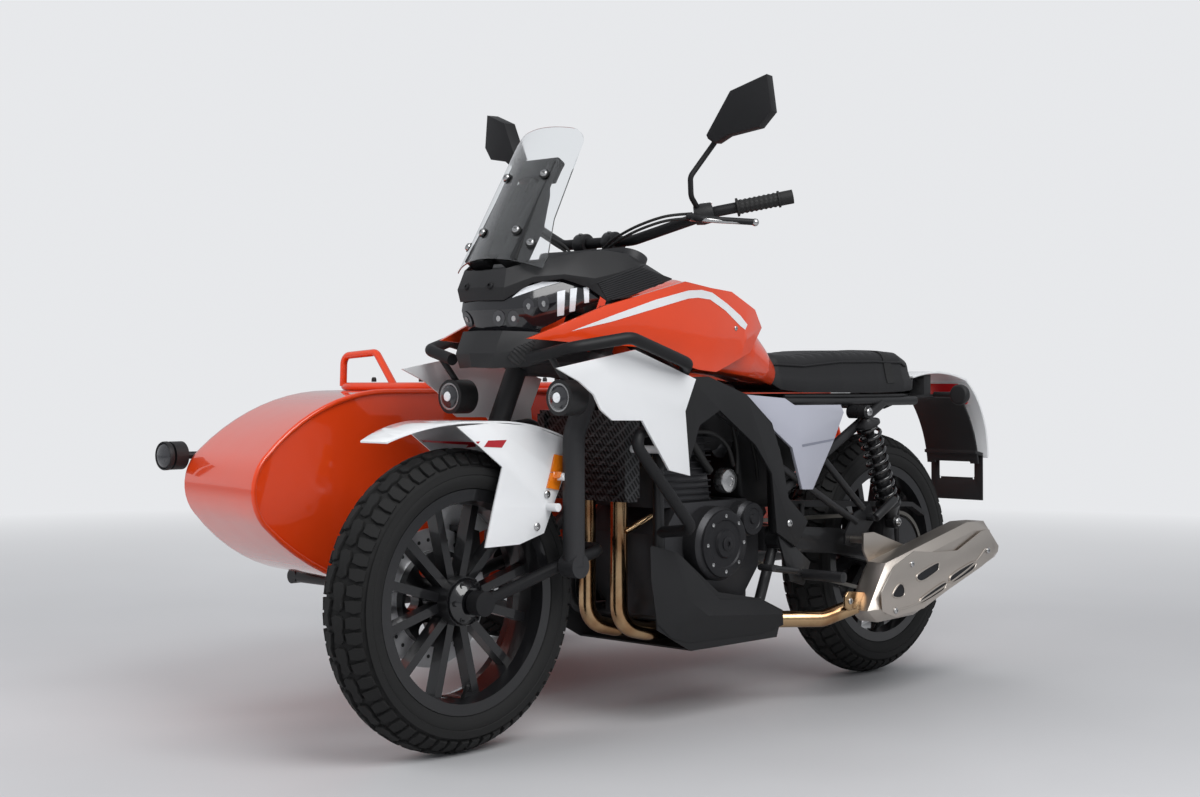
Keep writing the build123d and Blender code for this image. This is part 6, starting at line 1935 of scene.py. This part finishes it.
@dataclass
class EngineTrim:
    """Round covers, cooling fins, a sensor and the faceted belly plates."""

    cover: tuple = (0.176, -0.804, 0.405)
    cover_radius: float = 0.080
    # Distances along the axle, and radii as shares of the cover's
    cover_profile: tuple = ((0.0, 0.98), (0.004, 0.96), (0.006, 0.90), (0.006, 0.70), (0.003, 0.66),
                            (0.003, 0.42), (0.009, 0.38), (0.010, 0.30), (0.010, 0.05))
    slot: tuple = ((0.0, 0.0045), (0.0016, 0.0045), (0.0016, 0.003), (0.0004, 0.0028))
    slot_count: int = 8
    # Turned caps: name, place, profile, faces round the axle and finish
    caps: tuple = (
        ("small_cover", (0.164, -0.686, 0.455),
         ((0.0, 0.039), (0.004, 0.037), (0.004, 0.026), (0.002, 0.024), (0.002, 0.012), (0.006, 0.010)),
         48, FIN_BLACK),
        ("starter_cap", (0.106, -0.729, 0.545),
         ((0.0, 0.030), (0.020, 0.030), (0.025, 0.027), (0.028, 0.018), (0.028, 0.012), (0.024, 0.010)),
         40, STEEL),
    )
    fin: tuple = ((-0.955, 0.503), (-0.775, 0.503), (-0.775, 0.5065), (-0.955, 0.5065))
    fin_span: tuple = (0.100, 0.112)
    fin_count: int = 12
    fin_pitch: float = 0.0145
    sensor: tuple = ((0.068, -1.018, 0.440), (0.088, -0.985, 0.462), (0.100, -0.965, 0.475))
    sensor_radii: tuple = (0.0075, 0.0075, 0.0050)
    # Facets of the belly plate: distance from the middle, from the rear axle and from the floor
    facet_points: tuple = ((0.1775, -1.058, 0.415), (0.1800, -0.983, 0.398), (0.1775, -0.950, 0.384),
                           (0.1775, -0.866, 0.311), (0.1775, -0.822, 0.278), (0.1775, -0.672, 0.264),
                           (0.1775, -0.594, 0.229), (0.1770, -0.586, 0.197), (0.1765, -0.665, 0.184),
                           (0.1765, -0.930, 0.191), (0.1770, -0.989, 0.208), (0.1775, -1.036, 0.245),
                           (0.1775, -1.055, 0.343), (0.2040, -0.960, 0.292), (0.2040, -0.892, 0.250),
                           (0.1900, -0.604, 0.225))
    facets: tuple = ((0, 1, 13, 11, 12), (1, 2, 3, 4, 14, 13), (4, 5, 6, 15, 14),
                     (11, 13, 14, 15, 7, 8, 9, 10), (6, 7, 15))

    def build(self) -> None:
        """Belly plates on both sides, covers, fins and sensor on the left."""
        for side, tag in SIDES.items():
            corners = [beside(side, spot) for spot in self.facet_points]
            plate = mesh_piece(f"belly_plate_{tag}", corners, self.facets)
            commit(thickened(plate, 0.0012, 0.0, 1.0), DARK_COVER)
        centre = place(*self.cover)
        profile = [(along, self.cover_radius * share) for along, share in self.cover_profile]
        commit(lathe("cover_ring", centre, (1, 0, 0), profile, 64), FIN_BLACK)
        middle = centre + Vector((0.006, self.cover_radius * 0.80, 0))
        slot = lathe("cover_slot", middle, (1, 0, 0), self.slot, 12)
        ring_of(slot, self.slot_count, centre, STEEL)
        bolts("cover_centre", [centre + Vector((0.0095, 0, 0))], (1, 0, 0), 0.016, FIN_BLACK,
              height=0.005)
        for name, spot, profile, steps, finish in self.caps:
            commit(lathe(name, place(*spot), (1, 0, 0), profile, steps), finish)
        fin = slab("cylinder_fin", self.fin, *self.fin_span, 0.0006)
        row_of(fin, self.fin_count, (0, 0, self.fin_pitch), FIN_BLACK)
        sensor = pipe("exhaust_sensor", [place(*spot) for spot in self.sensor], self.sensor_radii, 12)
        commit(sensor, BRONZE)


@dataclass
class Shield:
    """Slotted heat shield of the silencer, with pressed ribs round its slots."""

    inner: float = 0.3300
    outer: float = 0.3328
    outline: tuple = ((-0.404, 0.272), (-0.352, 0.330), (-0.264, 0.361), (-0.179, 0.353), (-0.072, 0.350),
                      (0.040, 0.392), (0.078, 0.394), (0.106, 0.350), (0.098, 0.322), (0.040, 0.300),
                      (-0.118, 0.252), (-0.222, 0.217), (-0.345, 0.206), (-0.398, 0.224))
    holes: tuple = (((-0.358, 0.262), (-0.330, 0.286), (-0.312, 0.281), (-0.306, 0.266), (-0.314, 0.254),
                     (-0.340, 0.253)),
                    ((-0.252, 0.302), (-0.166, 0.326), (-0.158, 0.315), (-0.168, 0.303), (-0.234, 0.285)),
                    ((-0.232, 0.243), (-0.134, 0.274), (-0.128, 0.261), (-0.154, 0.249), (-0.232, 0.230)),
                    ((-0.100, 0.289), (0.004, 0.316), (0.010, 0.303), (-0.016, 0.290), (-0.094, 0.270)))
    ridge: tuple = ((-0.335, 0.222), (-0.225, 0.237), (-0.020, 0.300), (0.060, 0.345))
    screws: tuple = ((-0.275, 0.330), (-0.345, 0.222), (0.070, 0.340))
    flange: tuple = ((-0.470, 0.262), (-0.458, 0.274), (-0.386, 0.266), (-0.374, 0.254), (-0.380, 0.234),
                     (-0.452, 0.226), (-0.468, 0.236))
    flange_span: tuple = (0.268, 0.276)
    flange_bolts: tuple = ((-0.452, 0.250), (-0.394, 0.250))

    def build(self) -> None:
        """Plate, slots with rims and near-black patches in them as painted shade, ridge, bolts and the pipe
        flange.
        """
        plate = slab("heat_shield", self.outline, self.inner, self.outer, 0.001)
        commit(plate, CHAMPAGNE, replaced=["silencer_shield"])
        rims, shade_floors = [], []
        for index, hole in enumerate(self.holes):
            line = curve_through([place(self.outer + 0.0004, y, z) for y, z in hole], 5, True)
            rims.append(pipe(f"slot_rim_{index}", line, 0.0022, 8, True))
            # Near-black patch over each slot: painted shade for the dark seen through it
            under = [point - Vector((0.001, 0, 0)) for point in line]
            shade_floors.append(skin(f"slot_floor_{index}", [line, under]))
        commit(joined("shield_slot_rims", rims), CHAMPAGNE)
        commit(joined("shield_slots", shade_floors), FIN_BLACK)
        line = curve_through([place(self.outer - 0.001, y, z) for y, z in self.ridge], 6)
        commit(pipe("shield_ridge", line, 0.0030, 10), CHAMPAGNE)
        spots = [place(self.outer, y, z) for y, z in self.screws]
        bolts("shield_screws", spots, (1, 0, 0), 0.0075, STEEL)
        commit(slab("pipe_flange", self.flange, *self.flange_span, 0.002), BRONZE)
        spots = [place(self.flange_span[1], y, z) for y, z in self.flange_bolts]
        bolts("flange_bolts", spots, (1, 0, 0), 0.0075, STEEL)


@dataclass
class MidSection:
    """Air box, battery box, throttle body and hoses between engine and tank."""

    # Levels of a box: height, half width, front and rear
    air_box: tuple = ((0.610, 0.070, -0.900, -0.700), (0.640, 0.098, -0.925, -0.650),
                      (0.720, 0.104, -0.930, -0.640), (0.772, 0.090, -0.910, -0.660))
    battery_box: tuple = ((0.470, 0.080, -0.600, -0.480), (0.500, 0.092, -0.640, -0.440),
                          (0.640, 0.092, -0.660, -0.400), (0.722, 0.088, -0.650, -0.380))
    throttle: tuple = ((0.0, 0.034), (0.030, 0.034), (0.034, 0.040), (0.044, 0.040), (0.047, 0.032),
                       (0.060, 0.020), (0.062, 0.006))
    throttle_spot: tuple = (0.030, -0.690, 0.640)
    hoses: tuple = (
        ((0.112, -0.900, 0.700), (0.126, -0.860, 0.640), (0.122, -0.820, 0.600), (0.112, -0.780, 0.570)),
        ((0.108, -0.760, 0.740), (0.124, -0.720, 0.690), (0.120, -0.690, 0.620), (0.112, -0.680, 0.560)),
        ((0.110, -0.870, 0.660), (0.130, -0.800, 0.660), (0.130, -0.740, 0.630), (0.118, -0.700, 0.580)),
        ((0.104, -0.700, 0.700), (0.118, -0.650, 0.660), (0.118, -0.620, 0.600), (0.112, -0.600, 0.540)),
    )
    hose_radii: tuple = (0.0095, 0.0050, 0.0050, 0.0050)
    clip: tuple = ((-0.004, 0.0098), (-0.004, 0.0112), (0.004, 0.0112), (0.004, 0.0098))
    clip_spot: tuple = (0.126, -0.862, 0.642)

    def box(self, name: str, levels: Sequence[Point], edge: float, finish: Finish) -> None:
        """Box with rounded edges through its levels."""
        rings = [[place(half, front, z), place(half, rear, z), place(-half, rear, z), place(-half, front, z)]
                 for z, half, front, rear in levels]
        commit(rounded(skin(name, rings), edge, 3), finish)

    def build(self) -> None:
        """Dark pieces seen through the frame covers."""
        self.box("air_box", self.air_box, 0.012, BLACK_PLASTIC)
        self.box("battery_box", self.battery_box, 0.010, MATT_BLACK)
        throttle = lathe("throttle_body", place(*self.throttle_spot), (1, 0, -0.1), self.throttle, 32)
        commit(throttle, ENGINE_METAL)
        for side, tag in SIDES.items():
            hoses = []
            for index, (route, radius) in enumerate(zip(self.hoses, self.hose_radii)):
                line = curve_through([beside(side, spot) for spot in route], 8)
                hoses.append(pipe(f"hose_{index}", line, radius, 12))
            commit(joined(f"hoses_{tag}", hoses), RUBBER)
        clip = lathe("hose_clip", place(*self.clip_spot), (0.2, 0.5, -0.8), self.clip, 20)
        commit(clip, STEEL)


@dataclass
class FogLamp:
    """Reflector, lens and bulb of a round fog lamp."""

    side: int
    spot: tuple = (0.172, -1.335, 0.745)
    radius: float = 0.031
    # Distances forwards, and radii as shares of the lamp's
    bowl: tuple = ((-0.002, 0.2), (-0.001, 0.3), (0.0005, 0.9), (0.001, 0.9), (0.001, 0.98), (-0.002, 0.98))
    bulb: tuple = ((0.0, 0.011), (0.0015, 0.010), (0.0024, 0.006), (0.0026, 0.001))

    def build(self) -> None:
        """Bowl behind a smoked lens."""
        tag = SIDES[self.side]
        centre, forwards, r = beside(self.side, self.spot), (0, -1, 0), self.radius
        profile = [(along, r * share) for along, share in self.bowl]
        bowl = lathe(f"fog_bowl_{tag}", centre, forwards, profile, 32)
        commit(bowl, STEEL)
        profile = [(0.0008, r * 0.84)] + dome(r * 0.82, 0.006, 0.001, 0.0003)
        commit(lathe(f"fog_lens_{tag}", centre, forwards, profile, 32), SMOKED_LENS)
        bulb = lathe(f"fog_bulb_{tag}", centre - Vector((0, 0.0068, 0)), forwards, self.bulb, 20)
        commit(bulb, LED)


# Studio


@dataclass
class Studio:
    """Camera at the photograph's angle, floor and soft lamps."""

    lens: float = 54.3
    view: tuple = (-0.693, 0.721, -0.0108)
    aim: tuple = (-0.2, -0.7, 0.6)
    backdrop: Color = (0.80, 0.81, 0.83)
    ambient: Color = (0.80, 0.83, 0.88)
    ambient_strength: float = 0.45
    # Share of the backdrop that gloss shows
    in_gloss: float = 0.25
    # Floor: half its length, where it starts to fade and over what length, and its two tones
    floor_half: float = 30.0
    fade_start: float = 2.2
    fade_length: float = 4.5
    floor_tones: tuple = ((0.50, 0.50, 0.51), (0.56, 0.56, 0.57))

    def build(self) -> None:
        """Camera, floor, world and lamps."""
        scene = bpy.context.scene
        scene.view_settings.view_transform = "Standard"
        camera = bpy.data.objects.new("camera", bpy.data.cameras.new("camera"))
        camera.data.lens = self.lens
        camera.location = EYE
        camera.rotation_euler = Vector(self.view).to_track_quat("-Z", "Y").to_euler()
        scene.collection.objects.link(camera)
        scene.camera = camera
        self.floor()
        self.world()
        self.lamp("key", (3.4, -1.0, 3.6), 3.0, 150.0)
        self.lamp("fill", (-1.5, -4.2, 3.0), 3.4, 120.0, False)
        self.lamp("back", (-2.5, 2.8, 3.2), 3.0, 90.0, False)

    def floor(self) -> None:
        """Pale floor that fades into the backdrop."""
        half = self.floor_half
        ground = mesh_piece("floor", [(-half, -half, 0), (half, -half, 0), (half, half, 0), (-half, half, 0)],
                            [(0, 1, 2, 3)])
        material = bpy.data.materials.new("pale_floor_finish")
        recipe = Recipe(material)
        cloud = recipe.noise(1.6, 5.0)
        x, y, _ = recipe.axes()
        far = (((x ** 2.0 + y ** 2.0) ** 0.5 - self.fade_start) / self.fade_length).limited()
        seen = far * Wire(recipe, recipe.node("ShaderNodeLightPath").outputs["Is Camera Ray"])
        values = {"Base Color": recipe.mix(cloud, *self.floor_tones), "Roughness": 0.45 + cloud * 0.15}
        near = recipe.node("ShaderNodeBsdfPrincipled", values=values)
        glow = recipe.node("ShaderNodeEmission", values={"Color": self.backdrop, "Strength": 1.0})
        blend = recipe.node("ShaderNodeMixShader", values={0: seen, 1: near.outputs[0], 2: glow.outputs[0]})
        recipe.node("ShaderNodeOutputMaterial", values={0: blend.outputs[0]})
        ground.data.materials.append(material)

    def world(self) -> None:
        """Even light, with a brighter backdrop where the camera or a reflection sees it."""
        world = bpy.data.worlds.new("studio")
        bpy.context.scene.world = world
        recipe = Recipe(world)
        rays = recipe.node("ShaderNodeLightPath").outputs
        seen = Wire(recipe, rays["Is Camera Ray"]).larger(Wire(recipe, rays["Is Transmission Ray"]))
        seen = seen.larger(Wire(recipe, rays["Is Glossy Ray"]) * self.in_gloss)
        values = {"Color": self.ambient, "Strength": self.ambient_strength}
        ambient = recipe.node("ShaderNodeBackground", values=values)
        backdrop = recipe.node("ShaderNodeBackground", values={"Color": self.backdrop, "Strength": 1.0})
        values = {0: seen, 1: ambient.outputs[0], 2: backdrop.outputs[0]}
        blend = recipe.node("ShaderNodeMixShader", values=values)
        recipe.node("ShaderNodeOutputWorld", values={0: blend.outputs[0]})

    def lamp(self, name: str, spot: Point, size: float, power: float, mirrored_in_gloss: bool = True) -> None:
        """Large soft lamp that looks at the motorcycle."""
        light = bpy.data.lights.new(name, "AREA")
        light.size = size
        light.energy = power
        lamp = bpy.data.objects.new(name, light)
        lamp.location = spot
        lamp.visible_glossy = mirrored_in_gloss
        lamp.visible_transmission = False
        lamp.rotation_euler = (place(*self.aim) - Vector(spot)).to_track_quat("-Z", "Y").to_euler()
        bpy.context.scene.collection.objects.link(lamp)


def dress_nodes() -> None:
    """Give every carried-over node its finish."""
    for name, node in frame["nodes"].items():
        finish = NODE_FINISHES.get(name) or Slot[SLOT_OF[name]].value
        node.data.materials.clear()
        node.data.materials.append(finish.material())


def main() -> None:
    """Build the studio and every sub-assembly in order."""
    logging.basicConfig(level=logging.INFO, format="%(message)s")
    Studio().build()
    dress_nodes()
    wheels = ((FRONT_AXLE, Body.FRONT_WHEEL, -1, 1), (REAR_AXLE, Body.REAR_WHEEL, -1, 1),
              (SIDECAR_AXLE, Body.SIDECAR_WHEEL, 1, -1))
    for centre, body, _, _ in wheels:
        tyre = body.value.replace("wheel", "tyre")
        Tyre(tyre, centre, body, tyre).build()
    for centre, body, disc_side, cap_side in wheels:
        WheelTrim(body.value, centre, body, disc_side, cap_side).build()
    SidecarShell().build()
    SidecarTrim().build()
    Cushion("sidecar_seat").build()
    Cushion("sidecar_backrest").build()
    shown = Softened().build()
    shown.update(Nose().build())
    Graphics(shown).build()
    Saddle().build()
    for side in SIDES:
        RearShock(side).build()
        Grip(side).build()
    Controls().build()
    ScreenMount().build()
    EngineTrim().build()
    Shield().build()
    MidSection().build()
    for side in SIDES:
        FogLamp(side).build()


if __name__ == "__main__":
    main()
